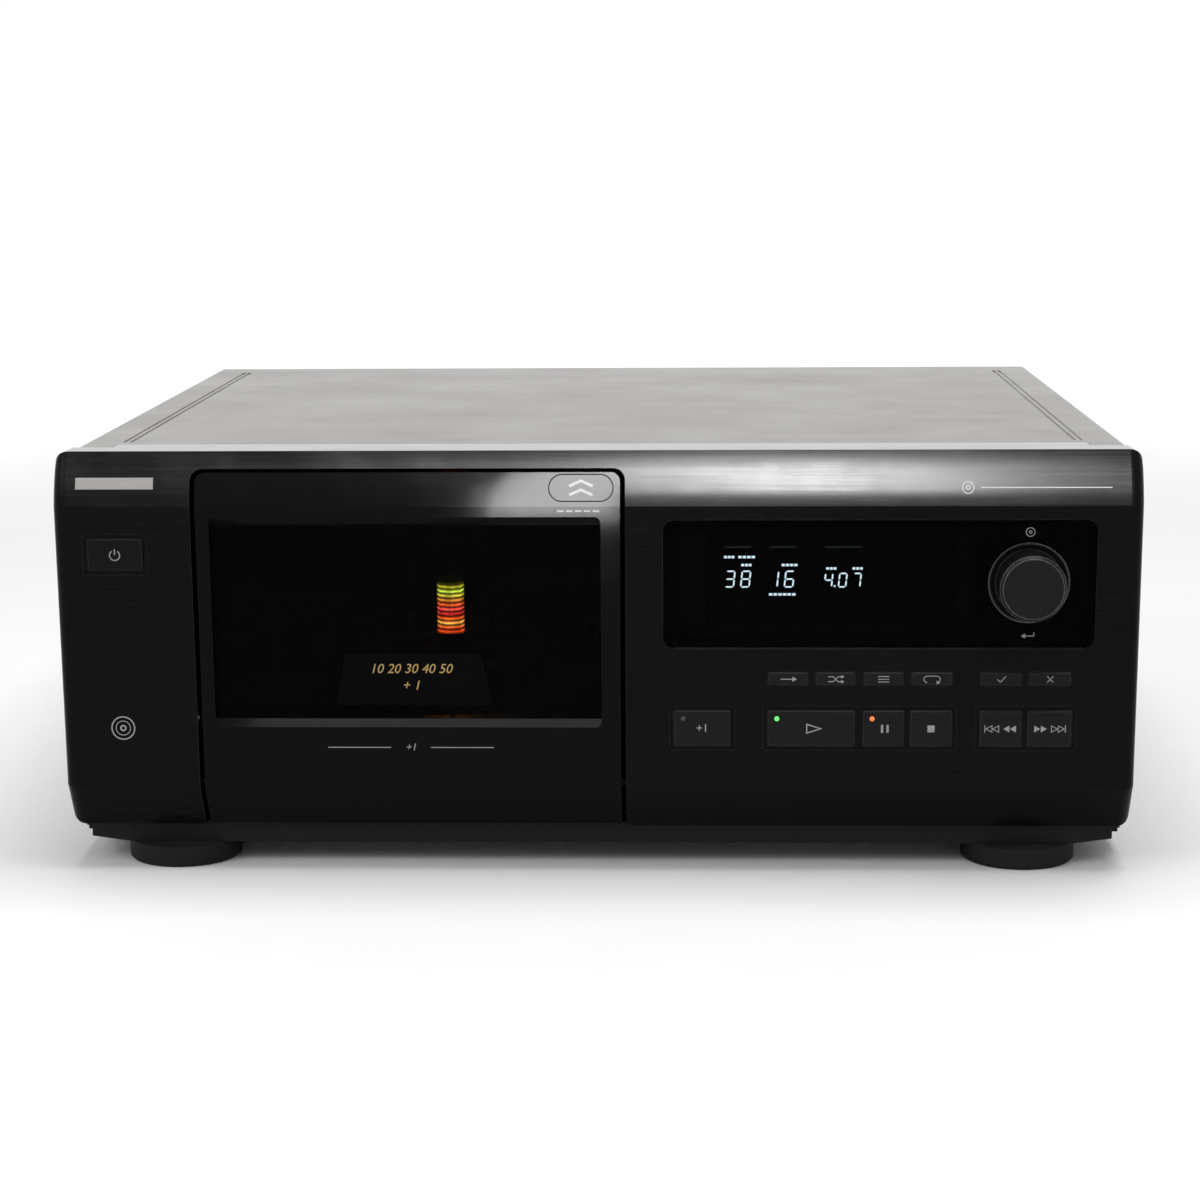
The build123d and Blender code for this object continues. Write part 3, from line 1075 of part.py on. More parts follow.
def spindle_motor():
    """Flat motor behind the plate, bored for the turntable's shaft."""
    can = rod_y(SPINDLE_X, DISC_Z, SPINDLE_MOTOR_RADIUS, MECH_BACK, MECH_BACK + SPINDLE_MOTOR_LENGTH)
    can = fillet(can.edges().filter_by(GeomType.CIRCLE).group_by(Axis.Y)[-1], 1.0)
    return can - rod_y(SPINDLE_X, DISC_Z, SPINDLE_RADIUS + RUNNING_FIT, MECH_BACK - 1, MECH_BACK + 12)


def disc_turntable():
    """Turntable with its centring cone, on the spindle's shaft."""
    seat = TABLE_Y + DISC_THICKNESS / 2
    table = rod_y(SPINDLE_X, DISC_Z, TURNTABLE_RADIUS, seat, seat + 3)
    table += cone_y(SPINDLE_X, DISC_Z, CENTRING_RADIUS - 1.2, CENTRING_RADIUS, seat - 2.6, seat)
    table += rod_y(SPINDLE_X, DISC_Z, 4, seat, seat + 7)
    return table + rod_y(SPINDLE_X, DISC_Z, SPINDLE_RADIUS, seat, MECH_BACK + 11)


def clamp_arm():
    """Arm that hangs in front of the disc and carries the clamping puck."""
    half = 12.0
    arm = block(SPINDLE_X - half, SPINDLE_X + half, *CLAMP_ARM_Y, DISC_Z - 14, CLAMP_PIN_Z)
    arm -= tile(SPINDLE_X - half + 5, SPINDLE_X + half - 5, DISC_Z + 18, CLAMP_PIN_Z - 12, 3,
                CLAMP_ARM_Y[0] - 1, CLAMP_ARM_Y[1] + 1)
    arm += rod_x(CLAMP_PIN_Y, CLAMP_PIN_Z, 3.2, SPINDLE_X - half, SPINDLE_X + half)
    arm += rod_x(CLAMP_PIN_Y, CLAMP_PIN_Z, CLAMP_PIN_RADIUS, EARS_X[0], EARS_X[1] + EAR_WIDTH)
    return arm - rod_y(SPINDLE_X, DISC_Z, 3 + RUNNING_FIT, CLAMP_ARM_Y[0] - 1, CLAMP_ARM_Y[1] + 1)


def clamp_puck():
    """Puck that presses the disc to the turntable and turns with it."""
    face = TABLE_Y - DISC_THICKNESS / 2 - SLIDE_GAP
    puck = rod_y(SPINDLE_X, DISC_Z, PUCK_RADIUS, CLAMP_ARM_Y[1] + SLIDE_GAP, face)
    puck -= rod_y(SPINDLE_X, DISC_Z, CENTRING_RADIUS + 0.8, face - 3, face + 1)
    puck += rod_y(SPINDLE_X, DISC_Z, 3, CLAMP_ARM_Y[0] - 1.5, face - 3.5)
    return puck + rod_y(SPINDLE_X, DISC_Z, 5, CLAMP_ARM_Y[0] - 2.5, CLAMP_ARM_Y[0] - SLIDE_GAP)


def sled_rods():
    """Two ground rods that the pickup's sled runs on."""
    rods = [rod_x(GUIDE_Y, DISC_Z + side * GUIDE_REACH, GUIDE_RADIUS, SLEDGE_LEFT - 3.5, MECH_RIGHT)
            for side in (-1, 1)]
    return Compound(children=rods)


def pickup_sled():
    """Optical pickup: a body on both rods, a lens towards the disc and a rack below."""
    body = block(SLEDGE_LEFT, SLEDGE_RIGHT, *SLED_Y, SLED_RACK_Z + 1.5, DISC_Z + GUIDE_REACH + 3)
    for z in (DISC_Z + GUIDE_REACH, DISC_Z - GUIDE_REACH):
        body -= rod_x(GUIDE_Y, z, GUIDE_RADIUS + RUNNING_FIT, SLEDGE_LEFT - 1, SLEDGE_RIGHT + 1)
    lens_x = SPINDLE_X + LENS_START
    body += rod_y(lens_x, DISC_Z, 3.2, SLED_Y[0] - 1.4, SLED_Y[0])
    rack = rack_teeth(FINE_MODULE, SLED_PINION_X - SLED_TRAVEL - 4, SLEDGE_LEFT + 8, SLED_RACK_Z,
                      SLED_PINION_X, SLED_Y[0] + 1, SLED_Y[1] - 3, SLED_RACK_BACK)
    return body + rack


def sled_pinion():
    """Pinion below the sled's rack."""
    turn = 90 + 180 / PINION_TEETH
    return gear_along_y(PINION_TEETH, FINE_MODULE, AXLE_RADIUS + RUNNING_FIT, SLED_PINION_X, SLED_PINION_Z,
                        SLED_Y[0] + 1, SLED_Y[1] - 3, turn)


# ---------------------------------------------------------------- electronics
MAIN_BOARD = (HALF - 145, HALF - 9, TABLE_Y + 62, REAR_IN - 2.0)
MAIN_BOARD_Z = 18.0
CAPACITORS = [(20, 8, 8, 26), (40, 8, 8, 26), (58, 10, 5, 12), (72, 10, 5, 12), (20, 32, 4, 10)]
CHIPS = [(80, 48, 20, 20), (42, 52, 24, 10), (110, 22, 14, 9)]
MAIN_BOARD_POSTS = [(x, y) for x in (MAIN_BOARD[0] + 6, MAIN_BOARD[1] - 6)
                    for y in (MAIN_BOARD[2] + 6, MAIN_BOARD[3] - 6)]


def main_board():
    """Main circuit board on four standoffs."""
    left, right, front, back = MAIN_BOARD
    return block(left, right, front, back, MAIN_BOARD_Z, MAIN_BOARD_Z + BOARD_THICKNESS)


def board_components():
    """Capacitors, chips, connectors and the regulator's heat sink, soldered to the main board."""
    top = MAIN_BOARD_Z + BOARD_THICKNESS
    left, right, front, back = MAIN_BOARD
    parts = []
    for x, y, radius, height in CAPACITORS:
        can = rod_z(left + x, front + y, radius, top, top + height)
        parts.append(fillet(can.edges().filter_by(GeomType.CIRCLE).group_by(Axis.Z)[-1], 0.8))
    for x, y, length, width in CHIPS:
        parts.append(block(left + x, left + x + length, front + y, front + y + width, top, top + 2.6))
    sink = block(right - 12, right - 9, front + 30, front + 80, top, top + 30)
    for k in range(8):
        y = front + 32 + k * 6
        sink += block(right - 10, right - 2, y, y + 1.6, top, top + 30)
    parts.append(sink)
    parts.append(block(left + 6, left + 26, front + 44, front + 50, top, top + 8))
    return Compound(children=parts)


def transformer():
    """Mains transformer: laminated core with two bobbin halves and mounting feet."""
    x0, x1 = -HALF + 9, -HALF + 73
    y0, y1 = REAR_IN - 62.0, REAR_IN - 10.0
    core = block(x0, x1, y0 + 12, y1 - 12, FLOOR_TOP, FLOOR_TOP + 46)
    coil = block(x0 + 10, x1 - 10, y0, y1, FLOOR_TOP + 6, FLOOR_TOP + 40)
    coil = fillet(coil.edges().filter_by(Axis.Z), 5)
    feet = block(x0 - 4, x1 + 6, y0 + 14, y1 - 14, FLOOR_TOP, FLOOR_TOP + 2)
    return core + coil + feet


def audio_jacks():
    """Pair of phono sockets in one housing, sleeves through the rear panel."""
    seat = MAIN_BOARD_Z + BOARD_THICKNESS
    body = block(PHONO_X - 7, PHONO_X + 7, REAR_IN - 14, REAR_IN, seat, PHONO_Z[1] + 8)
    for z in PHONO_Z:
        body += rod_y(PHONO_X, z, PHONO_COLLAR, REAR_IN - 1, REAR_OUT + COLLAR_PROUD)
        body += rod_y(PHONO_X, z, PHONO_RADIUS, REAR_IN - 1, COVER_BACK + JACK_PROTRUSION)
        body -= rod_y(PHONO_X, z, PHONO_BORE, REAR_IN - 8, COVER_BACK + JACK_PROTRUSION + 1)
    return body


def rear_sockets():
    """Optical socket and two control jacks behind the rear panel."""
    seat = MAIN_BOARD_Z + BOARD_THICKNESS
    optical = block(OPTICAL_X - 4.8, OPTICAL_X + 4.8, REAR_IN - 9, REAR_OUT + 1,
                    SOCKET_Z - 4.8, SOCKET_Z + 4.8)
    optical -= block(OPTICAL_X - 3, OPTICAL_X + 3, REAR_IN - 4, REAR_OUT + 2, SOCKET_Z - 3, SOCKET_Z + 3)
    optical += block(OPTICAL_X - 4.8, OPTICAL_X + 4.8, REAR_IN - 12, REAR_IN - 6, seat, SOCKET_Z + 4.8)
    sockets = [optical]
    for x in CONTROL_X:
        jack = block(x - 5, x + 5, REAR_IN - 13, REAR_IN, seat, SOCKET_Z + 5)
        jack += rod_y(x, SOCKET_Z, CONTROL_BORE + 1.4, REAR_IN - 1, REAR_OUT + 1.5)
        sockets.append(jack - rod_y(x, SOCKET_Z, CONTROL_BORE, REAR_IN - 12, REAR_OUT + 3))
    return Compound(children=sockets)


def cord_gland():
    """Bush in the rear panel for the mains cord."""
    grip = GLAND_RADIUS - 1.5 - RUNNING_FIT
    bush = rod_y(GLAND_X, GLAND_Z, grip, REAR_IN - 6, REAR_OUT + 1)
    bush += rod_y(GLAND_X, GLAND_Z, GLAND_RADIUS, REAR_OUT, REAR_OUT + 2.5)
    bush += rod_y(GLAND_X, GLAND_Z, GLAND_RADIUS, REAR_IN - 3, REAR_IN)
    return bush - rod_y(GLAND_X, GLAND_Z, GLAND_BORE, REAR_IN - 7, REAR_OUT + 4)


# ---------------------------------------------------------------- all the pieces
PIECES = {
    "front_bezel": front_bezel,
    "top_cover": top_cover,
    "front_plinth": front_plinth,
    "base_chassis": base_chassis,
    "rear_panel": rear_panel,
    "machine_screws": machine_screws,
    "door_frame": door_frame,
    "door_window": door_window,
    "door_hinge_pins": door_hinge_pins,
    "door_catch": door_catch,
    "catch_plunger": catch_plunger,
    "door_damper": door_damper,
    "damper_gear": damper_gear,
    "display_window": display_window,
    "display_tube": display_tube,
    "control_board": control_board,
    "panel_switches": panel_switches,
    "dial_ring": dial_ring,
    "dial_knob": dial_knob,
    "dial_shaft": dial_shaft,
    "rotary_table": rotary_table,
    "centre_post": centre_post,
    "light_column": light_column,
    "reduction_gear": reduction_gear,
    "table_pinion": table_pinion,
    "table_motor": table_motor,
    "mech_frame": mech_frame,
    "loading_slide": loading_slide,
    "loading_pinion": loading_pinion,
    "loading_motor": loading_motor,
    "spindle_motor": spindle_motor,
    "disc_turntable": disc_turntable,
    "clamp_arm": clamp_arm,
    "clamp_puck": clamp_puck,
    "sled_rods": sled_rods,
    "pickup_sled": pickup_sled,
    "sled_pinion": sled_pinion,
    "main_board": main_board,
    "board_components": board_components,
    "transformer": transformer,
    "audio_jacks": audio_jacks,
    "rear_sockets": rear_sockets,
    "cord_gland": cord_gland,
}


def save(name, shape):
    export_step(shape, f"parts/{name}.step")


for name, make in PIECES.items():
    save(name, make())
for name in [*KEY_NAMES, "power_button"]:
    save(name, key_cap(name))
for side, x in (("left", -FOOT_X), ("right", FOOT_X)):
    for end, d in (("front", FOOT_FRONT), ("rear", FOOT_REAR)):
        save(f"foot_{end}_{side}", foot(x, behind(d)))
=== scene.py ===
"""Finishes, printing, small parts, light and camera for a fifty-one disc changer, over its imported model.

Every length in this script is in millimetres until it goes into a mesh: x to the right, y to the
back, z up. FACE is the y of the front panel's flat.
"""
import math

import bmesh
import bpy
import numpy as np
from mathutils import Matrix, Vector
from mathutils.bvhtree import BVHTree


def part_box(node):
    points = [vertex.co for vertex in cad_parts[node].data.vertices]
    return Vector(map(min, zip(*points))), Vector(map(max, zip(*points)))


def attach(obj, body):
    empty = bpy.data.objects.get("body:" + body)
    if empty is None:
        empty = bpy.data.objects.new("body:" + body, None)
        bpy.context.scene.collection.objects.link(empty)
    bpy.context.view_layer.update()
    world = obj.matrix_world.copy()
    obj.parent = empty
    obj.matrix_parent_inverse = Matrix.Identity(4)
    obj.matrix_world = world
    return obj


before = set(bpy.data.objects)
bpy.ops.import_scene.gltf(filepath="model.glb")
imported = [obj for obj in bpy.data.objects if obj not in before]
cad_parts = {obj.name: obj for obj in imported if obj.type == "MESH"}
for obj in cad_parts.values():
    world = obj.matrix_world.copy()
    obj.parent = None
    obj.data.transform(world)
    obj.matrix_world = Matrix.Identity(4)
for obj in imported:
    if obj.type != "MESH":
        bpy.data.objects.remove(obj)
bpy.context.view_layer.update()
scene = bpy.context.scene
FACE = -187.5


def span(node):
    """Lowest and highest corner of a node, in millimetres."""
    low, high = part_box(node)
    return np.array(low) * 1000, np.array(high) * 1000


# ------------------------------------------------------------------ effects shared by the finishes
class Effect:
    """A shader group that takes a colour, a roughness and a height in mm and passes them on changed."""

    def __init__(self, name, **inputs):
        self.tree = bpy.data.node_groups.new(name, "ShaderNodeTree")
        face = self.tree.interface
        for socket, kind in (("Color", "Color"), ("Roughness", "Float"), ("Height", "Float")):
            face.new_socket(socket, in_out="INPUT", socket_type="NodeSocket" + kind)
            face.new_socket(socket, in_out="OUTPUT", socket_type="NodeSocket" + kind)
        for socket, value in inputs.items():
            kind = "Color" if isinstance(value, tuple) else "Float"
            made = face.new_socket(socket, in_out="INPUT", socket_type="NodeSocket" + kind)
            made.default_value = (*value, 1) if isinstance(value, tuple) else value
        self.start = self.tree.nodes.new("NodeGroupInput").outputs
        self.end = self.tree.nodes.new("NodeGroupOutput").inputs
        self.place = self.tree.nodes.new("ShaderNodeTexCoord").outputs["Object"]
        for socket in ("Color", "Roughness", "Height"):
            self.link(self.start[socket], self.end[socket])

    def link(self, source, target):
        self.tree.links.new(source, target)

    def put(self, target, value):
        """Gives a socket a number, a colour, or another socket's output."""
        if isinstance(value, bpy.types.NodeSocket):
            self.link(value, target)
        elif isinstance(value, tuple) and target.type == "RGBA":
            target.default_value = (*value, 1)
        else:
            target.default_value = value

    def node(self, kind, settings=None, **values):
        made = self.tree.nodes.new("ShaderNode" + kind)
        for key, value in (settings or {}).items():
            setattr(made, key, value)
        for key, value in values.items():
            self.put(made.inputs[key.replace("_", " ")], value)
        return made

    def math(self, operation, *values, clamp=False):
        made = self.tree.nodes.new("ShaderNodeMath")
        made.operation = operation
        made.use_clamp = clamp
        for socket, value in zip(made.inputs, values):
            self.put(socket, value)
        return made.outputs[0]

    def ramp(self, value, low, high, start=0.0, end=1.0):
        """Smooth step of a value from low to high."""
        made = self.node("MapRange", {"interpolation_type": "SMOOTHSTEP"}, Value=value,
                         From_Min=low, From_Max=high, To_Min=start, To_Max=end)
        return made.outputs[0]

    def stretched(self, x=1.0, y=1.0, z=1.0, turn=0.0):
        """Object coordinates in millimetres, turned about all three axes and scaled along each."""
        made = self.node("Mapping", Vector=self.place)
        made.inputs["Scale"].default_value = (x * 1000, y * 1000, z * 1000)
        made.inputs["Rotation"].default_value = (turn, turn, turn)
        return made.outputs[0]

    def axes(self):
        """Object coordinates in metres, as one output for each of x, y and z."""
        return self.node("SeparateXYZ", Vector=self.place).outputs

    def times(self, first, second):
        """The product of two values."""
        return self.math("MULTIPLY", first, second)

    def noise(self, vector, scale, detail=2.0, roughness=0.5):
        made = self.node("TexNoise", Vector=vector, Scale=scale, Detail=detail, Roughness=roughness)
        return made.outputs["Fac"]

    def mix(self, factor, first, second):
        made = self.node("Mix", {"data_type": "RGBA"})
        self.put(made.inputs[0], factor)
        self.put(made.inputs[6], first)
        self.put(made.inputs[7], second)
        return made.outputs[2]

    def shade(self, colour, amount):
        """Colour times a number."""
        made = self.node("VectorMath", {"operation": "SCALE"})
        self.put(made.inputs[0], colour)
        self.put(made.inputs["Scale"], amount)
        return made.outputs[0]


def grain_effect():
    """Moulded or painted grain: fine noise in height and shade, and broad noise in shade and gloss."""
    e = Effect("grain", Size=0.6, Relief=0.006, Shade=0.15, Gloss=0.05)
    fine = e.noise(e.stretched(), e.math("DIVIDE", 1.0, e.start["Size"]), 3.0, 0.6)
    broad = e.noise(e.stretched(), 0.02, 3.0)
    middle = e.math("SUBTRACT", fine, 0.5)
    wide = e.math("SUBTRACT", broad, 0.5)
    change = e.times(e.math("ADD", middle, wide), e.start["Shade"])
    e.link(e.shade(e.start["Color"], e.math("ADD", 1.0, e.times(change, 2.0))), e.end["Color"])
    gloss = e.times(e.math("ADD", e.times(wide, 2.0), middle), e.start["Gloss"])
    e.link(e.math("ADD", e.start["Roughness"], gloss, clamp=True), e.end["Roughness"])
    e.link(e.math("MULTIPLY_ADD", middle, e.start["Relief"], e.start["Height"]), e.end["Height"])
    return e.tree


def hairline_effect():
    """Fine lines along x, as of a brushed or drawn surface: noise stretched a hundredfold along x."""
    e = Effect("hairlines", Pitch=0.35, Relief=0.004, Shade=0.3, Gloss=0.05)
    lines = e.noise(e.stretched(x=0.008), e.math("DIVIDE", 1.0, e.start["Pitch"]), 2.0, 0.7)
    middle = e.math("SUBTRACT", lines, 0.5)
    change = e.math("MULTIPLY_ADD", e.times(middle, 2.0), e.start["Shade"], 1.0)
    e.link(e.shade(e.start["Color"], change), e.end["Color"])
    e.link(e.math("MULTIPLY_ADD", middle, e.start["Gloss"], e.start["Roughness"]), e.end["Roughness"])
    e.link(e.math("MULTIPLY_ADD", middle, e.start["Relief"], e.start["Height"]), e.end["Height"])
    return e.tree


def dust_effect():
    """Dust where the surface faces up: specks from cell distances, thinned by broad noise, and a film."""
    e = Effect("dust", Amount=0.5, Tint=(0.34, 0.31, 0.27), Speck=0.5, Side=0.0)
    normal = e.node("NewGeometry").outputs["Normal"]
    up = e.node("SeparateXYZ", Vector=normal).outputs["Z"]
    facing = e.ramp(up, e.math("SUBTRACT", 0.35, e.start["Side"]), 0.95)
    cells = e.node("TexVoronoi", Vector=e.stretched(), Scale=0.7, Randomness=1.0).outputs["Distance"]
    patches = e.noise(e.stretched(), 0.03, 4.0, 0.6)
    specks = e.times(e.ramp(cells, 0.16, 0.1), e.ramp(patches, 0.45, 0.62))
    film = e.times(e.ramp(patches, 0.35, 0.75), 0.25)
    mask = e.math("MAXIMUM", e.times(specks, e.start["Speck"]), film)
    mask = e.math("MULTIPLY", e.times(mask, facing), e.start["Amount"], clamp=True)
    e.link(e.mix(mask, e.start["Color"], e.start["Tint"]), e.end["Color"])
    rough = e.math("MULTIPLY_ADD", mask, 0.5, e.start["Roughness"])
    e.link(e.math("MINIMUM", rough, 1.0), e.end["Roughness"])
    return e.tree


def scratch_effect():
    """Thin scratches: the narrow middle of two noises stretched along slanted lines, thinned by a third."""
    e = Effect("scratches", Amount=0.5, Tint=(0.6, 0.6, 0.6), Gloss=0.15, Relief=0.004)
    total = 0.0
    for turn, scale in ((0.35, 0.16), (-0.8, 0.11)):
        band = e.noise(e.stretched(x=0.03, turn=turn), scale * 8, 1.0)
        line = e.ramp(e.math("ABSOLUTE", e.math("SUBTRACT", band, 0.5)), 0.006, 0.001)
        where = e.ramp(e.noise(e.stretched(turn=turn), 0.02, 3.0), 0.52, 0.66)
        total = e.math("ADD", e.times(line, where), total)
    mask = e.math("MULTIPLY", total, e.start["Amount"], clamp=True)
    e.link(e.mix(e.times(mask, 0.5), e.start["Color"], e.start["Tint"]), e.end["Color"])
    e.link(e.math("MULTIPLY_ADD", mask, e.start["Gloss"], e.start["Roughness"]), e.end["Roughness"])
    deep = e.times(mask, e.start["Relief"])
    e.link(e.math("SUBTRACT", e.start["Height"], deep), e.end["Height"])
    return e.tree


def smudge_effect():
    """Finger smears and wiping marks on gloss: warped broad noise that changes the roughness alone."""
    e = Effect("smudges", Amount=0.12, Size=18.0)
    bent = e.noise(e.stretched(), e.math("DIVIDE", 1.0, e.start["Size"]), 5.0, 0.65)
    wiped = e.noise(e.stretched(x=0.15, turn=0.5), e.math("DIVIDE", 3.0, e.start["Size"]), 3.0)
    mask = e.times(e.ramp(bent, 0.4, 0.7), e.ramp(wiped, 0.3, 0.7, 0.4))
    e.link(e.math("MULTIPLY_ADD", mask, e.start["Amount"], e.start["Roughness"]), e.end["Roughness"])
    return e.tree


def wear_and_highlight_effect():
    """Rubbed edges, and where the tint is light a painted edge highlight: where a rounded normal leaves the
    true one, broken up by noise.
    """
    e = Effect("edge wear", Amount=0.5, Tint=(0.25, 0.25, 0.26), Radius=0.4, Gloss=-0.08)
    edge = e.node("Bevel", {"samples": 4})
    e.put(edge.inputs["Radius"], e.times(e.start["Radius"], 0.001))
    true = e.node("NewGeometry").outputs["Normal"]
    dot = e.node("VectorMath", {"operation": "DOT_PRODUCT"})
    e.put(dot.inputs[0], edge.outputs[0])
    e.put(dot.inputs[1], true)
    rounded_edge = e.ramp(dot.outputs["Value"], 0.99, 0.86)
    broken = e.ramp(e.noise(e.stretched(), 0.9, 3.0, 0.7), 0.3, 0.65, 0.25)
    mask = e.math("MULTIPLY", e.times(rounded_edge, broken), e.start["Amount"], clamp=True)
    e.link(e.mix(mask, e.start["Color"], e.start["Tint"]), e.end["Color"])
    e.link(e.math("MULTIPLY_ADD", mask, e.start["Gloss"], e.start["Roughness"]), e.end["Roughness"])
    return e.tree


EFFECTS = {"grain": grain_effect(), "hairlines": hairline_effect(), "dust": dust_effect(),
           "scratches": scratch_effect(), "smudges": smudge_effect(), "wear_and_highlight": wear_and_highlight_effect()}
RELIEF = ("grain", "hairlines", "scratches")


# ------------------------------------------------------------------ finishes
class Finish(Effect):
    """A material: a base colour and a roughness run through effects into a Principled shader with a bump."""

    def __init__(self, name, colour, roughness, effects=(), **sockets):
        self.material = bpy.data.materials.new(name)
        self.material.use_nodes = True
        self.tree = self.material.node_tree
        self.shader = self.tree.nodes["Principled BSDF"]
        self.place = self.tree.nodes.new("ShaderNodeTexCoord").outputs["Object"]
        self.colour = colour
        self.roughness = roughness
        self.height = None
        for key, value in sockets.items():
            self.give(key.replace("_", " "), value)
        for effect, values in effects:
            self.apply(effect, **values)
        self.give("Base Color", self.colour)
        self.give("Roughness", self.roughness)
        if any(values.get("Relief", 1) and effect in RELIEF for effect, values in effects):
            bump = self.node("Bump", Distance=0.001, Height=self.height)
            self.link(bump.outputs["Normal"], self.shader.inputs["Normal"])

    def give(self, socket, value):
        """Puts a value or an output on one of the shader's own sockets."""
        self.put(self.shader.inputs[socket], value)

    def apply(self, effect, **values):
        """Adds one shared effect after those before it."""
        group = self.tree.nodes.new("ShaderNodeGroup")
        group.node_tree = EFFECTS[effect]
        for key, value in {**values, "Color": self.colour, "Roughness": self.roughness}.items():
            self.put(group.inputs[key], value)
        if self.height is not None:
            self.link(self.height, group.inputs["Height"])
        self.colour = group.outputs["Color"]
        self.roughness = group.outputs["Roughness"]
        self.height = group.outputs["Height"]


def emit(finish, colour, strength):
    """Makes a finish give light, and gives it back."""
    finish.give("Emission Color", colour)
    finish.give("Emission Strength", strength)
    return finish


BLACK = (0.0036, 0.0035, 0.0037)
GRAIN = ("grain", {"Size": 0.35, "Relief": 0.006, "Shade": 0.2})
SOFT_GRAIN = ("grain", {"Size": 0.8, "Relief": 0.003, "Shade": 0.15})

# Its light edge tint is partly rubbed wear and partly a painted highlight on the rims of the key wells.
panel_black = Finish("panel_black", BLACK, 0.21, [
    ("hairlines", {"Pitch": 0.5, "Relief": 0.009, "Shade": 0.4, "Gloss": 0.16}),
    ("smudges", {"Amount": 0.06, "Size": 30.0}),
    ("wear_and_highlight", {"Amount": 0.5, "Tint": (0.09, 0.09, 0.095), "Radius": 0.4}),
    ("dust", {"Amount": 0.5, "Tint": (0.12, 0.115, 0.1), "Side": 0.2}),
    ("scratches", {"Amount": 0.3, "Tint": (0.1, 0.1, 0.1)})], Specular_IOR_Level=0.05)
# The strip let into the cover is lacquered: all of the panel above and behind these two planes.
LACQUER_ABOVE = 163.5
LACQUER_BEHIND = FACE + 9.5
_, depth, rise = panel_black.axes()
panel_black.give("Coat Weight", panel_black.times(
    panel_black.math("GREATER_THAN", rise, LACQUER_ABOVE / 1000),
    panel_black.math("GREATER_THAN", depth, LACQUER_BEHIND / 1000)))
panel_black.give("Coat Roughness", 0.05)

door_black = Finish("door_black", (0.0034, 0.0034, 0.0038), 0.06, [
    ("hairlines", {"Pitch": 0.3, "Relief": 0.0008, "Shade": 0.25, "Gloss": 0.03}),
    ("smudges", {"Amount": 0.04, "Size": 22.0}),
    ("dust", {"Amount": 0.25, "Tint": (0.12, 0.115, 0.1), "Side": 0.2})], Specular_IOR_Level=0.05)
cover_paint = Finish("cover_paint", (0.042, 0.034, 0.025), 0.3, [
    ("grain", {"Size": 0.5, "Relief": 0.008, "Shade": 0.24, "Gloss": 0.1}),
    ("smudges", {"Amount": 0.05, "Size": 60.0}),
    ("wear_and_highlight", {"Amount": 0.5, "Tint": (0.2, 0.19, 0.18), "Radius": 0.6}),
    ("dust", {"Amount": 0.18, "Tint": (0.3, 0.28, 0.25), "Speck": 0.5}),
    ("scratches", {"Amount": 0.5, "Tint": (0.2, 0.19, 0.18)})],
    Specular_Tint=(1.0, 0.92, 0.82), Coat_Roughness=0.22)
# The cover's inner faces are dull, and their colour is cut to a tenth as painted shade: all of it deeper
# than half its sheet, in metres.
HALF_SHEET = 0.0006
COVER_COAT = 0.45
across, _, rise = cover_paint.axes()
half_width, _, cover_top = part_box("top_cover")[1]
dull_shaded_inside = cover_paint.times(
    cover_paint.math("LESS_THAN", cover_paint.math("ABSOLUTE", across), half_width - HALF_SHEET),
    cover_paint.math("LESS_THAN", rise, cover_top - HALF_SHEET))
cover_paint.give("Base Color", cover_paint.shade(
    cover_paint.colour, cover_paint.ramp(dull_shaded_inside, 0.0, 1.0, 1.0, 0.1)))
cover_paint.give("Coat Weight", cover_paint.ramp(dull_shaded_inside, 0.0, 1.0, COVER_COAT, 0.0))
cover_paint.give("Roughness", cover_paint.math("MAXIMUM", cover_paint.roughness, dull_shaded_inside))

plinth_black = Finish("plinth_black", (0.013, 0.013, 0.014), 0.5, [GRAIN, (
    "dust", {"Amount": 0.6, "Tint": (0.1, 0.095, 0.085)})], Specular_IOR_Level=0.08)
zinc_steel = Finish("zinc_steel", (0.45, 0.45, 0.43), 0.38, [
    ("grain", {"Size": 6.0, "Relief": 0.004, "Shade": 0.25, "Gloss": 0.2}),
    ("scratches", {"Amount": 0.5})], Metallic=0.9)
# The chassis is darkened to near black at its front flange, fading out over these two planes.
FLANGE_BLACK_END, FLANGE_BARE_START = -154.2, -152.5
_, depth, _ = zinc_steel.axes()
zinc_steel.give("Base Color", zinc_steel.shade(
    zinc_steel.colour, zinc_steel.ramp(depth, FLANGE_BLACK_END / 1000, FLANGE_BARE_START / 1000, 0.03)))

rear_paint = Finish("rear_paint", (0.02, 0.02, 0.021), 0.5, [
    ("grain", {"Size": 0.4, "Relief": 0.01, "Shade": 0.2, "Gloss": 0.1}),
    ("scratches", {"Amount": 0.35, "Tint": (0.2, 0.2, 0.2)}),
    ("wear_and_highlight", {"Amount": 0.5, "Radius": 0.5})])
screw_black = Finish("screw_black", (0.05, 0.05, 0.052), 0.35, [
    ("grain", {"Size": 0.3, "Relief": 0.004, "Shade": 0.3}),
    ("wear_and_highlight", {"Amount": 0.7, "Tint": (0.4, 0.4, 0.4), "Radius": 0.25})], Metallic=0.8)
pin_black = Finish("pin_black", (0.008, 0.008, 0.008), 0.5, [SOFT_GRAIN], Specular_IOR_Level=0.1)
pin_steel = Finish("pin_steel", (0.5, 0.5, 0.5), 0.28, [SOFT_GRAIN, (
    "scratches", {"Amount": 0.4})], Metallic=1.0)


def key_finish(name, colour):
    """Moulded keytop with a thin lighter edge, partly rubbed wear and partly a painted edge highlight."""
    return Finish(name, colour, 0.42, [
        ("grain", {"Size": 0.25, "Relief": 0.005, "Shade": 0.2, "Gloss": 0.08}),
        ("wear_and_highlight", {"Amount": 1.0, "Tint": (0.1, 0.105, 0.103), "Radius": 0.3})], Specular_IOR_Level=0.08)


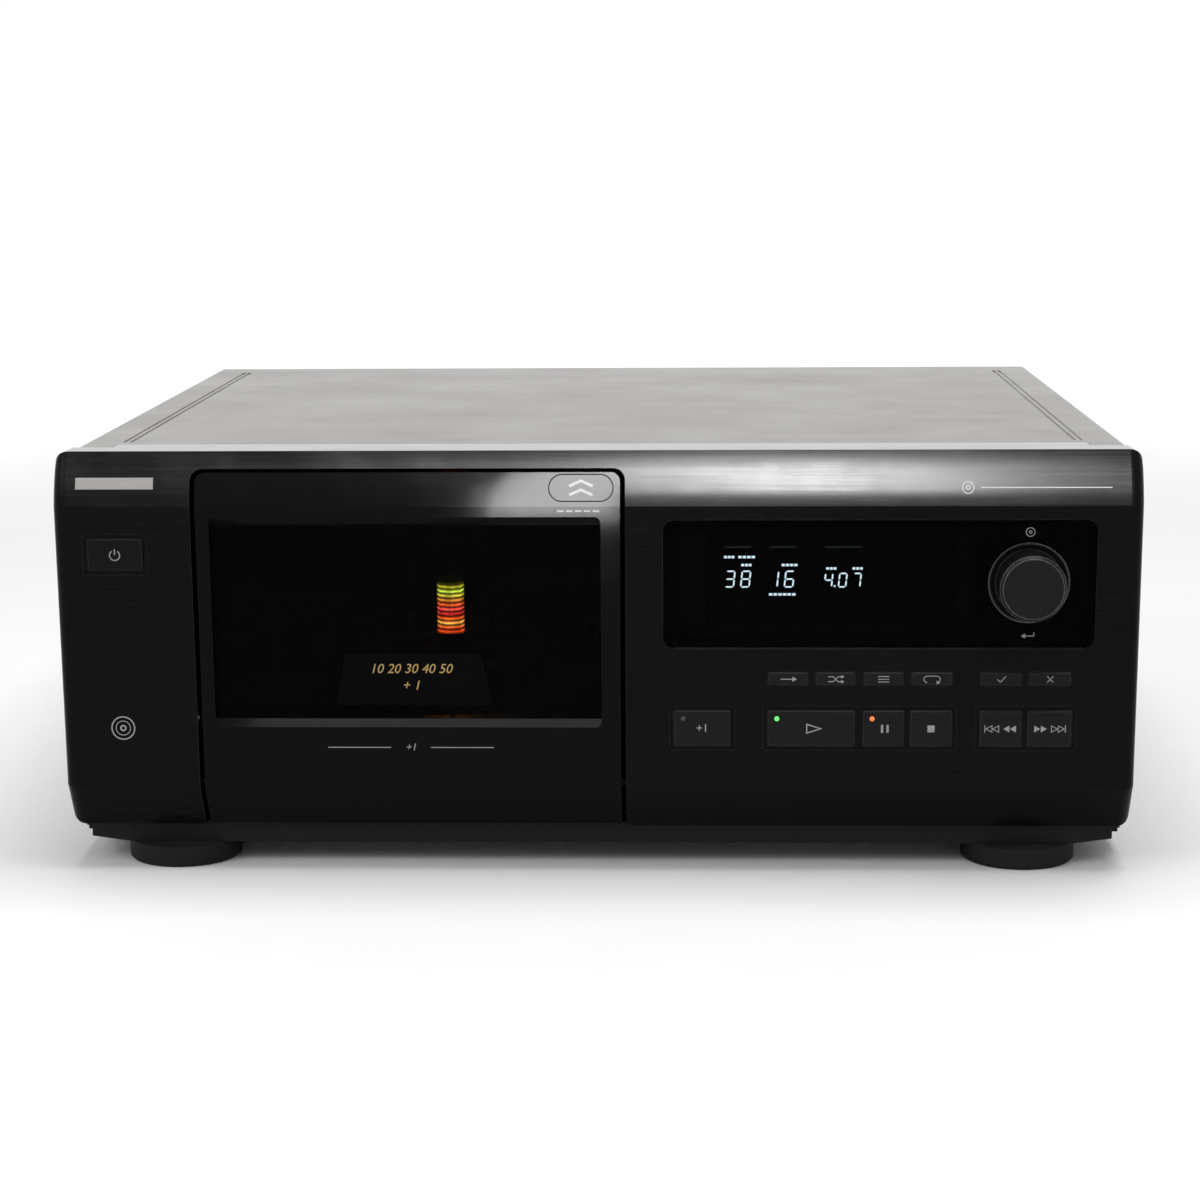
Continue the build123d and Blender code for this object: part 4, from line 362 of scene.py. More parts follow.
key_grey = key_finish("key_grey", (0.0095, 0.0105, 0.01))
key_black = key_finish("key_black", (0.0048, 0.005, 0.0052))
foot_rubber = Finish("foot_rubber", (0.014, 0.014, 0.0145), 0.62, [
    ("grain", {"Size": 0.5, "Relief": 0.02, "Shade": 0.3, "Gloss": 0.1}),
    ("dust", {"Amount": 0.8, "Tint": (0.13, 0.12, 0.11), "Side": 0.5})], Specular_IOR_Level=0.1)
# The ring's light edge tint is a painted highlight on its rims.
ring_black = Finish("ring_black", (0.008, 0.008, 0.009), 0.22, [SOFT_GRAIN, (
    "wear_and_highlight", {"Amount": 1.0, "Tint": (0.26, 0.26, 0.27), "Radius": 0.5})], Specular_IOR_Level=0.3)
# The knob's light edge tint is a painted highlight on its rim.
knob_black = Finish("knob_black", (0.0035, 0.0035, 0.0038), 0.3, [
    ("grain", {"Size": 0.3, "Relief": 0.003, "Shade": 0.15}),
    ("wear_and_highlight", {"Amount": 1.0, "Tint": (0.34, 0.34, 0.35), "Radius": 0.6})], Specular_IOR_Level=0.16)
shaft_metal = Finish("shaft_metal", (0.55, 0.54, 0.5), 0.25, [SOFT_GRAIN], Metallic=1.0)
tube_glass = Finish("tube_glass", (0.004, 0.005, 0.006), 0.12, [
    ("grain", {"Size": 1.2, "Relief": 0.0, "Shade": 0.5}), ("smudges", {"Amount": 0.08})],
    Specular_IOR_Level=0.15)
board_green = Finish("board_green", (0.008, 0.06, 0.025), 0.35, [
    ("grain", {"Size": 1.6, "Relief": 0.03, "Shade": 0.45}), ("dust", {"Amount": 0.6})])
component_black = Finish("component_black", (0.012, 0.012, 0.013), 0.45, [GRAIN, (
    "dust", {"Amount": 0.6})])
table_black = Finish("table_black", (0.009, 0.009, 0.0095), 0.42, [
    ("grain", {"Size": 0.5, "Relief": 0.01, "Shade": 0.2, "Gloss": 0.08}),
    ("dust", {"Amount": 0.4, "Tint": (0.1, 0.1, 0.09)}),
    ("wear_and_highlight", {"Amount": 0.4, "Tint": (0.05, 0.05, 0.052), "Radius": 0.4})])
gear_white = Finish("gear_white", (0.62, 0.6, 0.53), 0.4, [
    ("grain", {"Size": 1.5, "Relief": 0.004, "Shade": 0.08}),
    ("dust", {"Amount": 0.3})], Subsurface_Weight=0.05)
post_black = Finish("post_black", (0.01, 0.01, 0.0105), 0.35, [SOFT_GRAIN, (
    "wear_and_highlight", {"Amount": 0.4, "Tint": (0.06, 0.06, 0.06)})])
motor_steel = Finish("motor_steel", (0.5, 0.5, 0.48), 0.33, [
    ("hairlines", {"Pitch": 0.5, "Relief": 0.004, "Shade": 0.15}),
    ("smudges", {"Amount": 0.2})], Metallic=0.95)
mech_steel = Finish("mech_steel", (0.4, 0.4, 0.39), 0.36, [
    ("grain", {"Size": 5.0, "Relief": 0.004, "Shade": 0.2, "Gloss": 0.2}),
    ("wear_and_highlight", {"Amount": 0.5, "Tint": (0.6, 0.6, 0.6)})], Metallic=0.9)
slide_black = Finish("slide_black", (0.011, 0.011, 0.012), 0.4, [GRAIN, (
    "wear_and_highlight", {"Amount": 0.4, "Tint": (0.06, 0.06, 0.06)})])
turntable_black = Finish("turntable_black", (0.012, 0.012, 0.012), 0.5, [GRAIN])
core_steel = Finish("core_steel", (0.12, 0.115, 0.11), 0.5, [
    ("hairlines", {"Pitch": 0.5, "Relief": 0.08, "Shade": 0.4}), ("dust", {"Amount": 0.5})], Metallic=0.6)
jack_black = Finish("jack_black", (0.012, 0.012, 0.0125), 0.34, [GRAIN, (
    "wear_and_highlight", {"Amount": 0.4, "Tint": (0.06, 0.06, 0.06)})])
# The phono sleeves are bare metal: behind the rear panel, between two radii about their axes.
PHONO_X = 165.0
PHONO_LOW, PHONO_HIGH = 32.0, 48.0
SLEEVE_INNER, SLEEVE_OUTER = 3.3, 4.3
SLEEVE_START = 194.0
PHONO_HALF_PITCH = (PHONO_HIGH - PHONO_LOW) / 2
across, depth, rise = jack_black.axes()
side = jack_black.math("SUBTRACT", across, PHONO_X / 1000)
above = jack_black.math("SUBTRACT", rise, (PHONO_LOW - PHONO_HALF_PITCH) / 1000)
folded = jack_black.math("PINGPONG", above, 2 * PHONO_HALF_PITCH / 1000)
up = jack_black.math("SUBTRACT", folded, PHONO_HALF_PITCH / 1000)
apart = jack_black.math("SQRT", jack_black.math(
    "ADD", jack_black.times(side, side), jack_black.times(up, up)))
sleeve = jack_black.times(
    jack_black.times(jack_black.math("LESS_THAN", apart, SLEEVE_OUTER / 1000),
                    jack_black.math("GREATER_THAN", apart, SLEEVE_INNER / 1000)),
    jack_black.math("GREATER_THAN", depth, SLEEVE_START / 1000))
jack_black.give("Metallic", sleeve)
jack_black.give("Base Color", jack_black.mix(sleeve, jack_black.colour, (0.6, 0.58, 0.53)))

smoked_pane = Finish("smoked_pane", (0.11, 0.105, 0.11), 0.02, [
    ("smudges", {"Amount": 0.02, "Size": 24.0})],
    Transmission_Weight=1.0, IOR=1.09)
display_pane = Finish("display_pane", (0.08, 0.083, 0.086), 0.02, [
    ("smudges", {"Amount": 0.02, "Size": 16.0})],
    Transmission_Weight=1.0, IOR=1.09)
lamp_clear = Finish("lamp_clear", (0.1, 0.02, 0.01), 0.15, [("grain", {"Size": 0.8, "Relief": 0.01})])
# The column glows in bands from red at its foot to green at its top, brighter on each rib.
COLUMN_RIBS = 12
COLUMN_BANDS = ((0.1, (0.8, 0.08, 0.01)), (0.17, (1.0, 0.5, 0.08)), (0.26, (0.9, 0.12, 0.01)),
                (0.34, (0.4, 0.01, 0.01)), (0.46, (1.0, 0.1, 0.06)), (0.54, (0.7, 0.1, 0.01)),
                (0.64, (0.55, 0.27, 0.03)), (0.76, (0.6, 0.85, 0.06)), (0.85, (0.4, 0.38, 0.02)))
low, high = (corner[2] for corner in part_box("light_column"))
_, _, rise = lamp_clear.axes()
part = lamp_clear.node("MapRange", Value=rise, From_Min=low, From_Max=high).outputs[0]
heat = lamp_clear.node("ValToRGB", Fac=part)
heat.color_ramp.elements[0].color = (0.7, 0.06, 0.01, 1)
heat.color_ramp.elements[1].color = (0.25, 0.3, 0.01, 1)
for place, colour in COLUMN_BANDS:
    heat.color_ramp.elements.new(place).color = (*colour, 1)
ribs = lamp_clear.math("SINE", lamp_clear.times(part, COLUMN_RIBS * 2 * math.pi))
glints = lamp_clear.ramp(lamp_clear.noise(lamp_clear.stretched(z=0.2), 0.45, 2.0), 0.4, 0.7, 0.7, 1.5)
ribs = lamp_clear.times(lamp_clear.math("MULTIPLY_ADD", ribs, 5.0, 6.0), glints)
emit(lamp_clear, heat.outputs[0], lamp_clear.times(ribs, lamp_clear.ramp(part, 0.93, 0.87, 0.01)))

KEYS = ["plus_one_key", "play_key", "pause_key", "stop_key", "previous_key", "next_key", "continue_key",
        "shuffle_key", "program_key", "repeat_key", "check_key", "clear_key"]
WORN = {
    panel_black: ["front_bezel"], door_black: ["door_frame"], smoked_pane: ["door_window"],
    display_pane: ["display_window"], cover_paint: ["top_cover"], plinth_black: ["front_plinth"],
    zinc_steel: ["base_chassis"], rear_paint: ["rear_panel"], screw_black: ["machine_screws"],
    pin_black: ["door_hinge_pins"],
    pin_steel: ["sled_rods"], key_grey: KEYS, key_black: ["power_button"],
    foot_rubber: [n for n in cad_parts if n.startswith("foot_")], ring_black: ["dial_ring"],
    knob_black: ["dial_knob"], shaft_metal: ["dial_shaft"], tube_glass: ["display_tube"],
    board_green: ["control_board", "main_board"],
    component_black: ["panel_switches", "board_components", "door_catch", "catch_plunger"],
    table_black: ["rotary_table"],
    gear_white: ["reduction_gear", "table_pinion", "loading_pinion", "sled_pinion"],
    post_black: ["centre_post", "door_damper", "damper_gear", "clamp_arm", "clamp_puck"],
    lamp_clear: ["light_column"],
    motor_steel: ["table_motor", "loading_motor", "spindle_motor"], mech_steel: ["mech_frame"],
    slide_black: ["loading_slide", "pickup_sled"], turntable_black: ["disc_turntable"],
    core_steel: ["transformer"], jack_black: ["audio_jacks", "rear_sockets", "cord_gland"]}
for finish, nodes in WORN.items():
    for name in nodes:
        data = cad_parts[name].data
        data.materials.clear()
        data.materials.append(finish.material)


# ------------------------------------------------------------------ mesh makers
def grid(points, around=False, along=False, flip=False):
    """Quads over a grid of points of shape (rows, columns, 3), closed around columns or along rows."""
    rows, columns = points.shape[:2]
    i = np.arange(rows if along else rows - 1)[:, None]
    j = np.arange(columns if around else columns - 1)[None, :]
    a = i * columns + j
    b = i * columns + (j + 1) % columns
    c = (i + 1) % rows * columns + (j + 1) % columns
    d = (i + 1) % rows * columns + j
    quads = np.stack([a, b, c, d], -1).reshape(-1, 4)
    return points.reshape(-1, 3), (quads[:, ::-1] if flip else quads).tolist()


def mesh(name, parts, finish, smooth=None):
    """One object of several (points in mm, faces) parts, at the origin; smooth is an angle in degrees."""
    points, faces, start = [], [], 0
    for places, around in parts:
        points.append(places)
        faces += [[start + k for k in face] for face in around]
        start += len(places)
    data = bpy.data.meshes.new(name)
    data.from_pydata((np.concatenate(points) / 1000).tolist(), [], faces)
    data.materials.append(finish.material)
    welded = bmesh.new()
    welded.from_mesh(data)
    bmesh.ops.remove_doubles(welded, verts=welded.verts, dist=1e-7)
    bmesh.ops.recalc_face_normals(welded, faces=welded.faces)
    welded.to_mesh(data)
    welded.free()
    if smooth is not None:
        data.polygons.foreach_set("use_smooth", [True] * len(faces))
        data.set_sharp_from_angle(angle=math.radians(smooth))
    data.validate()
    made = bpy.data.objects.new(name, data)
    scene.collection.objects.link(made)
    return made


def turned(profile, x, z, steps=40, closed=False):
    """Solid of revolution about the line through (x, z) along y, of (radius, y) pairs: from axis to axis,
    or a closed ring."""
    radius, y = np.array(profile, float).T
    angle = np.linspace(0, 2 * math.pi, steps, endpoint=False)
    points = np.stack([x + np.outer(radius, np.cos(angle)), np.tile(y[:, None], steps),
                       z + np.outer(radius, np.sin(angle))], -1)
    return grid(points, True, closed)


# ------------------------------------------------------------------ printing
PRINT = 0.05                      # how far printing stands above what carries it
SUNK = 0.02                       # and how far it reaches in
LINE = 0.42                       # width of a printed line
THIN = 0.34                       # and of a thin one


def front_of(node):
    """Gives the function of (x, z) for the y of a node's surface, seen from the front."""
    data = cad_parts[node].data
    tree = BVHTree.FromPolygons([v.co for v in data.vertices], [p.vertices for p in data.polygons])

    def surface(x, z):
        hit = tree.ray_cast((x / 1000, -0.3, z / 1000), (0, 1, 0))[0]
        return 1000 * (hit or tree.find_nearest((x / 1000, FACE / 1000, z / 1000))[0]).y
    return surface


def raised(corners, surface):
    """Front and back (x, y, z) of each (x, z) corner: just above the surface, and just under it."""
    y = np.array([surface(x, z) for x, z in corners])
    return [np.stack([corners[:, 0], y + step, corners[:, 1]], -1) for step in (-PRINT, SUNK)]


def ribbon(path, surface, width=LINE, closed=False):
    """A printed line along (x, z) points: a rectangle at each point, on the mitre of its two runs."""
    path = np.array(path, float)
    ahead = np.roll(path, -1, 0) - path
    behind = np.roll(ahead, 1, 0)
    if not closed:
        ahead[-1], behind[0] = behind[-1], ahead[0]
    sides = [np.stack([-run[:, 1], run[:, 0]], -1) / np.linalg.norm(run, axis=1)[:, None]
             for run in (ahead, behind)]
    mitre = sides[0] + sides[1]
    mitre /= np.linalg.norm(mitre, axis=1)[:, None]
    reach = width / 2 / np.maximum((mitre * sides[0]).sum(1), 0.35)
    left, right = path + mitre * reach[:, None], path - mitre * reach[:, None]
    (left_front, left_back), (right_front, right_back) = raised(left, surface), raised(right, surface)
    points, faces = grid(np.stack([left_front, right_front, right_back, left_back], 1), True, closed)
    if not closed:
        last = len(points) - 4
        faces += [[0, 1, 2, 3], [last + 3, last + 2, last + 1, last]]
    return points, faces


def patch(outline, surface):
    """A filled print: an outline of (x, z) points as a thin plate."""
    front, back = raised(np.array(outline, float), surface)
    count = len(front)
    faces = [list(range(count)), list(range(2 * count - 1, count - 1, -1))]
    faces += [[k, (k + 1) % count, count + (k + 1) % count, count + k] for k in range(count)]
    return np.concatenate([front, back]), faces


def type_set(text, size, lean=0.0):
    """Numbers and signs of the built-in face about (0, 0): (across, up, 0.5 in front or -0.5) points."""
    data = bpy.data.curves.new("numerals", "FONT")
    data.body, data.size, data.shear, data.extrude = text, size, lean, 0.5
    data.align_x, data.align_y, data.resolution_u = "CENTER", "CENTER", 4
    made = bpy.data.objects.new("numerals", data)
    scene.collection.objects.link(made)
    flat = bpy.data.meshes.new_from_object(made)
    bpy.data.objects.remove(made)
    points = np.array([vertex.co for vertex in flat.vertices])
    return points, [list(polygon.vertices) for polygon in flat.polygons]


def numerals(text, size, x, z, surface, lean=0.0):
    """Numbers and signs centred on (x, z), as a thin closed mesh on the surface."""
    points, faces = type_set(text, size, lean)
    y = np.array([surface(x + a, z + b) for a, b, _ in points])
    y += np.where(points[:, 2] > 0, -PRINT, SUNK)
    return np.stack([x + points[:, 0], y, z + points[:, 1]], -1), faces


def circle(x, z, radius, start=0.0, end=360.0, steps=40):
    """Points on a circle, or on a stretch of it from start to end in degrees from +x towards +z."""
    whole = end - start >= 360
    angle = np.radians(np.linspace(start, end, steps, endpoint=not whole))
    return np.stack([x + radius * np.cos(angle), z + radius * np.sin(angle)], -1)


def stadium(x, z, width, height, steps=14, between=0):
    """An oval: two half circles, joined by straight runs with some points between their ends."""
    radius = height / 2
    reach = width / 2 - radius
    points = []
    for side, first in ((1, -90), (-1, 90)):
        run = side * reach * np.linspace(1, -1, between + 2)[1:-1]
        points += [circle(x + side * reach, z, radius, first, first + 180, steps),
                   np.stack([x + run, np.full_like(run, z + side * radius)], -1)]
    return np.concatenate(points)


def arrow(x, z, length, height, facing=1):
    """A solid triangle centred on (x, z), with its point to the right, or to the left for -1."""
    half = length / 2 * facing
    return [(x - half, z + height / 2), (x + half, z), (x - half, z - height / 2)]


def printed(name, parts, finish, body):
    """One piece of several printed or moulded parts, riding on a body."""
    made = mesh(name, parts, finish)
    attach(made, body)
    return made


def ink(name, colour, roughness, shade):
    """Flat printing ink, a little uneven in shade."""
    return Finish(name, colour, roughness, [
        ("grain", {"Size": 0.4, "Relief": 0.0, "Shade": shade})], Specular_IOR_Level=0.1)


print_silver = ink("print_silver", (0.34, 0.34, 0.34), 0.5, 0.35)
print_white = ink("print_white", (0.92, 0.92, 0.92), 0.5, 0.1)
print_gold = ink("print_gold", (0.5, 0.34, 0.12), 0.4, 0.3)
plate_satin = Finish("plate_satin", (0.42, 0.41, 0.39), 0.45, [
    ("hairlines", {"Pitch": 0.25, "Relief": 0.004, "Shade": 0.2}),
    ("wear_and_highlight", {"Amount": 0.5, "Tint": (0.6, 0.6, 0.6), "Radius": 0.2})], Specular_IOR_Level=0.1)
# Light grey for a painted highlight.
painted_highlight_grey = Finish("painted_highlight_grey", (0.28, 0.28, 0.29), 0.4, [
    ("hairlines", {"Pitch": 1.5, "Relief": 0.0, "Shade": 0.6})], Specular_IOR_Level=0.1)
shade_print = Finish("shade_print", (0.0028, 0.0028, 0.003), 0.5, [
    ("grain", {"Size": 0.5, "Relief": 0.0, "Shade": 0.3})], Specular_IOR_Level=0.02)


def middle(node):
    """The (x, z) in the middle of a node."""
    low, high = span(node)
    return (low[0] + high[0]) / 2, (low[2] + high[2]) / 2


def level(left, right, z, count=2):
    """Points of a level line from left to right."""
    return np.stack([np.linspace(left, right, count), np.full(count, z)], -1)


def dashes(left, right, z, count, surface, width, fill=0.76):
    """A row of short level lines, each over the middle share of its place."""
    step = (right - left) / count
    rim = (1 - fill) / 2
    return [ribbon(level(left + (k + rim) * step, left + (k + 1 - rim) * step, z), surface, width)
            for k in range(count)]


def bars(x, z, surface, gap=2.2, height=3.2, width=0.9):
    """Two upright bars."""
    return [ribbon([(x + side * gap / 2, z - height / 2), (x + side * gap / 2, z + height / 2)],
                   surface, width) for side in (-1, 1)]


def skips(x, z, surface, facing):
    """Skip and seek signs: a bar with two outlined triangles, then two solid ones."""
    parts = [ribbon([(x + facing * 6.3, z - 1.5), (x + facing * 6.3, z + 1.5)], surface, 0.35)]
    for k in range(2):
        parts.append(ribbon(arrow(x + facing * (2.0 + 2.7 * k), z, 2.4, 2.6, facing), surface, 0.3, True))
        parts.append(patch(arrow(x + facing * (-4.8 + 2.6 * k), z, 2.4, 2.8, facing), surface))
    return parts


def power_sign(x, z, top):
    """An open ring with a bar through its gap."""
    return [ribbon(circle(x, z - 0.2, 2.0, 125, 415), top), ribbon([(x, z), (x, z + 2.3)], top)]


def shuffle_sign(x, z, top):
    """Two crossing arrows."""
    parts = []
    for way in (-1, 1):
        path = [(x - 3, z - way), (x - 1, z - way), (x + 1, z + way), (x + 2.2, z + way)]
        parts += [ribbon(path, top, THIN), patch(arrow(x + 2.8, z + way, 1.3, 1.4), top)]
    return parts


def key_signs(node):
    """The sign on a key, drawn about its middle."""
    x, z = middle(node)
    top = front_of(node)
    signs = {
        "power_button": lambda: power_sign(x, z, top),
        "plus_one_key": lambda: [numerals("+1", 4.6, x, z, top)],
        "play_key": lambda: [ribbon(arrow(x + 1.0, z, 5.6, 3.6), top, 0.45, True)],
        "pause_key": lambda: bars(x + 0.6, z, top),
        "stop_key": lambda: [patch([(x - 1.4, z - 1.4), (x + 1.4, z - 1.4), (x + 1.4, z + 1.4),
                                    (x - 1.4, z + 1.4)], top)],
        "previous_key": lambda: skips(x, z, top, -1),
        "next_key": lambda: skips(x, z, top, 1),
        "continue_key": lambda: [ribbon(level(x - 3, x + 2, z), top, THIN),
                                 patch(arrow(x + 2.6, z, 1.8, 2.0), top)],
        "shuffle_key": lambda: shuffle_sign(x, z, top),
        "program_key": lambda: [ribbon(level(x - 2.2, x + 2.2, z + k * 1.1), top, THIN) for k in (-1, 0, 1)],
        "repeat_key": lambda: [ribbon(stadium(x, z, 6.4, 2.6)[4:], top, THIN),
                               patch(arrow(x + 2.6, z - 1.3, 1.5, 1.6), top)],
        "check_key": lambda: [ribbon([(x - 1.7, z), (x - 0.4, z - 1.2), (x + 1.7, z + 1.3)], top, THIN)],
        "clear_key": lambda: [ribbon([(x - 1.2, z - 1.2 * way), (x + 1.2, z + 1.2 * way)], top, THIN)
                              for way in (-1, 1)]}
    return signs[node]()


for key in ["power_button", *KEYS]:
    printed("sign_" + key, key_signs(key), print_silver, key)

# ---- on the panel
NAMEPLATE_SPAN = (-205.356, -174.444)
NAMEPLATE_Z = 158.05
NAMEPLATE_HEIGHT = 4.4
DISC_MARK = (-190.2, 59.5)
DISC_RINGS = ((4.6, 0.5), (2.9, 0.3), (1.0, 0.6))           # radius and width of line
RULE_SPAN = (151.0, 202.0)
RULE_Z = 156.0
RULE_DISC_X = 146.0
RULE_WIDTH = 0.35
panel = front_of("front_bezel")
printed("nameplate", [ribbon(level(*NAMEPLATE_SPAN, NAMEPLATE_Z, 24), panel, NAMEPLATE_HEIGHT)],
        plate_satin, "root")
printed("disc_mark", [ribbon(circle(*DISC_MARK, radius), panel, width, True)
                      for radius, width in DISC_RINGS], print_silver, "root")
printed("panel_rule", [
    ribbon(level(*RULE_SPAN, RULE_Z, 40), panel, RULE_WIDTH),
    *(ribbon(circle(RULE_DISC_X, RULE_Z, radius), panel, RULE_WIDTH, True) for radius in (2.2, 0.7))],
    print_white, "root")

# ---- on the door
PUSH_X, PUSH_Z = -5.35, 156.1
PUSH_WIDTH, PUSH_HEIGHT = 25.3, 10.2
CHEVRON_REACH, CHEVRON_RISE, CHEVRON_PITCH = 4.6, 1.0, 3.4
HINT_SPAN = (-15.15, 2.35)
HINT_Z = 147.2
HINT_COUNT = 5
HINT_FILL = 0.743                 # share of each place that its dash covers
DOOR_LINE_SPAN = (-107.6, -41.0)
DOOR_LINE_GAP = 8.0               # on each side of its number
DOOR_LINE_Z = 51.7
door = front_of("door_frame")


def chevron(x, z):
    """Three points of a sign that points up."""
    foot = z - CHEVRON_RISE
    return [(x - CHEVRON_REACH, foot), (x, z + CHEVRON_RISE), (x + CHEVRON_REACH, foot)]


printed("push_ring", [ribbon(stadium(PUSH_X, PUSH_Z, PUSH_WIDTH, PUSH_HEIGHT, 16, 14), door, 0.4, True)],
        shade_print, "door")
printed("push_mark", [ribbon(chevron(PUSH_X, PUSH_Z + side * CHEVRON_PITCH / 2), door, 0.95)
                      for side in (-1, 1)], print_white, "door")
printed("push_hint", dashes(*HINT_SPAN, HINT_Z, HINT_COUNT, door, 0.6, HINT_FILL), print_white, "door")
left, right = DOOR_LINE_SPAN
x = (left + right) / 2
parts = [ribbon([(x + side * DOOR_LINE_GAP, DOOR_LINE_Z), (x + side * (right - left) / 2, DOOR_LINE_Z)],
                door, 0.35) for side in (-1, 1)]
printed("door_line", [*parts, numerals("+1", 4.2, x, DOOR_LINE_Z, door, 0.2)], print_silver, "door")

# ---- on the window
SHADE = [(-104.0, 68.5), (-100.8, 86.6), (-100.0, 88.6), (-98.2, 89.5),
         (-47.8, 89.5), (-46.0, 88.6), (-45.2, 86.6), (-41.4, 68.5)]
GOLD_X = -74.0
GOLD_LINES = (("10 20 30 40 50", 83.2), ("+ 1", 76.4))
GOLD_SIZE, GOLD_LEAN = 5.4, 0.25
pane = front_of("door_window")


def over_shade(x, z):
    """The y of the shade's own front."""
    return pane(x, z) - PRINT


printed("window_shade", [patch(SHADE, pane)], shade_print, "door")
printed("window_numbers", [numerals(text, GOLD_SIZE, GOLD_X, z, over_shade, GOLD_LEAN)
                           for text, z in GOLD_LINES], print_gold, "door")

# ---- a painted highlight: a light grey line under the display's pane, on its lower bevel
HIGHLIGHT_DROP, HIGHLIGHT_INSET, HIGHLIGHT_WIDTH = 0.3, 4.0, 0.35
low, high = span("display_window")
printed("display_painted_highlight", [ribbon(level(low[0] + HIGHLIGHT_INSET, high[0] - HIGHLIGHT_INSET, low[2] - HIGHLIGHT_DROP, 30),
                                panel, HIGHLIGHT_WIDTH)], painted_highlight_grey, "root")

# ---- over and under the dial
DIAL_DISC_UP, DIAL_ENTER_DOWN = 20.2, 21.2
glass = front_of("display_window")
x, z = middle("dial_knob")
foot = z - DIAL_ENTER_DOWN
printed("dial_marks", [
    *(ribbon(circle(x, z + DIAL_DISC_UP, radius), glass, 0.32, True) for radius in (1.7, 0.5)),
    ribbon([(x + 2.4, foot + 1.4), (x + 2.4, foot), (x - 1.2, foot)], glass, THIN),
    patch(arrow(x - 1.8, foot, 1.7, 2.0, -1), glass)], print_silver, "root")


# ---- on the rotary table
DISC_COUNT = 51
NUMBER_REACH = 9.0                # from the table's rim in to the middle of its numbers
NUMBER_SIZE = 5.0
TEETH_TOP = 50.0


def place_number(k):
    """The number of a disc place, on top of the tooth after its slot, its foot towards the rim."""
    low, high = span("rotary_table")
    points, faces = type_set(str(k + 1), NUMBER_SIZE)
    turn = 2 * math.pi * (k + 0.5) / DISC_COUNT - math.pi / 2
    out = np.array([math.cos(turn), math.sin(turn)])
    across = np.array([-out[1], out[0]])
    reach = (high[0] - low[0]) / 2 - NUMBER_REACH
    flat = (low[:2] + high[:2]) / 2 + out * (reach - points[:, 1:2]) + across * points[:, :1]
    rise = TEETH_TOP + np.where(points[:, 2:] > 0, PRINT, -SUNK)
    return np.concatenate([flat, rise], 1), faces


printed("place_numbers", [place_number(k) for k in range(DISC_COUNT)], print_silver, "rotary_table")


# ------------------------------------------------------------------ display figures
SEGMENTS = {"a": ((0, 2), (1, 2)), "b": ((1, 2), (1, 1)), "c": ((1, 1), (1, 0)), "d": ((0, 0), (1, 0)),
            "e": ((0, 1), (0, 0)), "f": ((0, 2), (0, 1)), "g": ((0, 1), (1, 1))}
LIT = {"0": "abcdef", "1": "bc", "3": "abcdg", "4": "bcfg", "6": "acdefg", "7": "abc", "8": "abcdefg"}
FIGURE_Z = 115.6
FIGURE_WIDTH, FIGURE_HEIGHT = 3.3, 6.3
FIGURES = (("38", 51.4, 6.2, 1.0), ("16", 68.7, 6.2, 1.0), ("407", 90.7, 5.6, 0.86))   # text, x, pitch, size
POINT = (94.8, 115.9)
POINT_RADIUS = 0.4
LIT_ROWS = ((50.8, 55.2, 127.6), (56.4, 63.4, 127.6), (57.6, 62.0, 124.4), (73.6, 80.2, 124.4),
            (91.2, 95.6, 123.0), (101.6, 106.0, 123.0), (68.6, 79.6, 112.6))           # left, right, z
DASH_PITCH, DASH_HEIGHT = 1.7, 0.95
DIM_ROWS = ((51.4, 61.6), (69.2, 79.8), (90.4, 105.4))
DIM_Z = 131.6
tube = front_of("display_tube")


def figure(number, x, z, width, height, stroke=0.6, lean=0.1):
    """A seven-segment figure, its lower left at (x, z): each lit segment is a bar with pointed ends."""
    parts = []
    for name in LIT[number]:
        start, end = (np.array([x + width * a, z + height / 2 * b]) for a, b in SEGMENTS[name])
        run = (end - start) / np.linalg.norm(end - start)
        side = np.array([-run[1], run[0]]) * stroke / 2
        gap, bevel = run * 0.18, run * (0.18 + stroke / 2)
        bar = np.array([start + gap, start + bevel + side, end - bevel + side, end - gap,
                        end - bevel - side, start + bevel - side])
        bar[:, 0] += (bar[:, 1] - z) * lean
        parts.append(patch(bar, tube))
    return parts


EVEN = [("grain", {"Size": 0.3, "Relief": 0.0, "Shade": 0.1})]
figure_glow = emit(Finish("figure_glow", (0.02, 0.025, 0.025), 0.5, EVEN), (0.75, 0.93, 1.0), 11.0)
figure_dim = emit(Finish("figure_dim", (0.02, 0.022, 0.022), 0.5, EVEN), (0.5, 0.7, 0.8), 0.25)
parts = []
for text, start, pitch, size in FIGURES:
    for k, number in enumerate(text):
        parts += figure(number, start + k * pitch, FIGURE_Z, FIGURE_WIDTH * size, FIGURE_HEIGHT * size)
parts.append(patch(circle(*POINT, POINT_RADIUS, steps=10), tube))
for left, right, z in LIT_ROWS:
    parts += dashes(left, right, z, round((right - left) / DASH_PITCH), tube, DASH_HEIGHT)
printed("display_figures", parts, figure_glow, "root")
printed("display_frames", [ribbon(level(left, right, DIM_Z), tube, 0.7) for left, right in DIM_ROWS],
        figure_dim, "root")


# ------------------------------------------------------------------ lamps in the keys
LENS_RADIUS, LENS_RISE, LENS_DEPTH = 0.9, 0.35, 1.2
LAMP_Z = 63.8


def lens(name, key, x, finish):
    """A domed lens in a key's lamp hole: its radius times cos t, its rise times sin t above the key."""
    face = span(key)[0][1]
    dome = [(LENS_RADIUS * math.cos(t), face - LENS_RISE * math.sin(t))
            for t in np.linspace(0, math.pi / 2, 7)]
    profile = [(0, face + LENS_DEPTH), (LENS_RADIUS, face + LENS_DEPTH), *dome]
    printed(name, [turned(profile, x, LAMP_Z, 24)], finish, key)


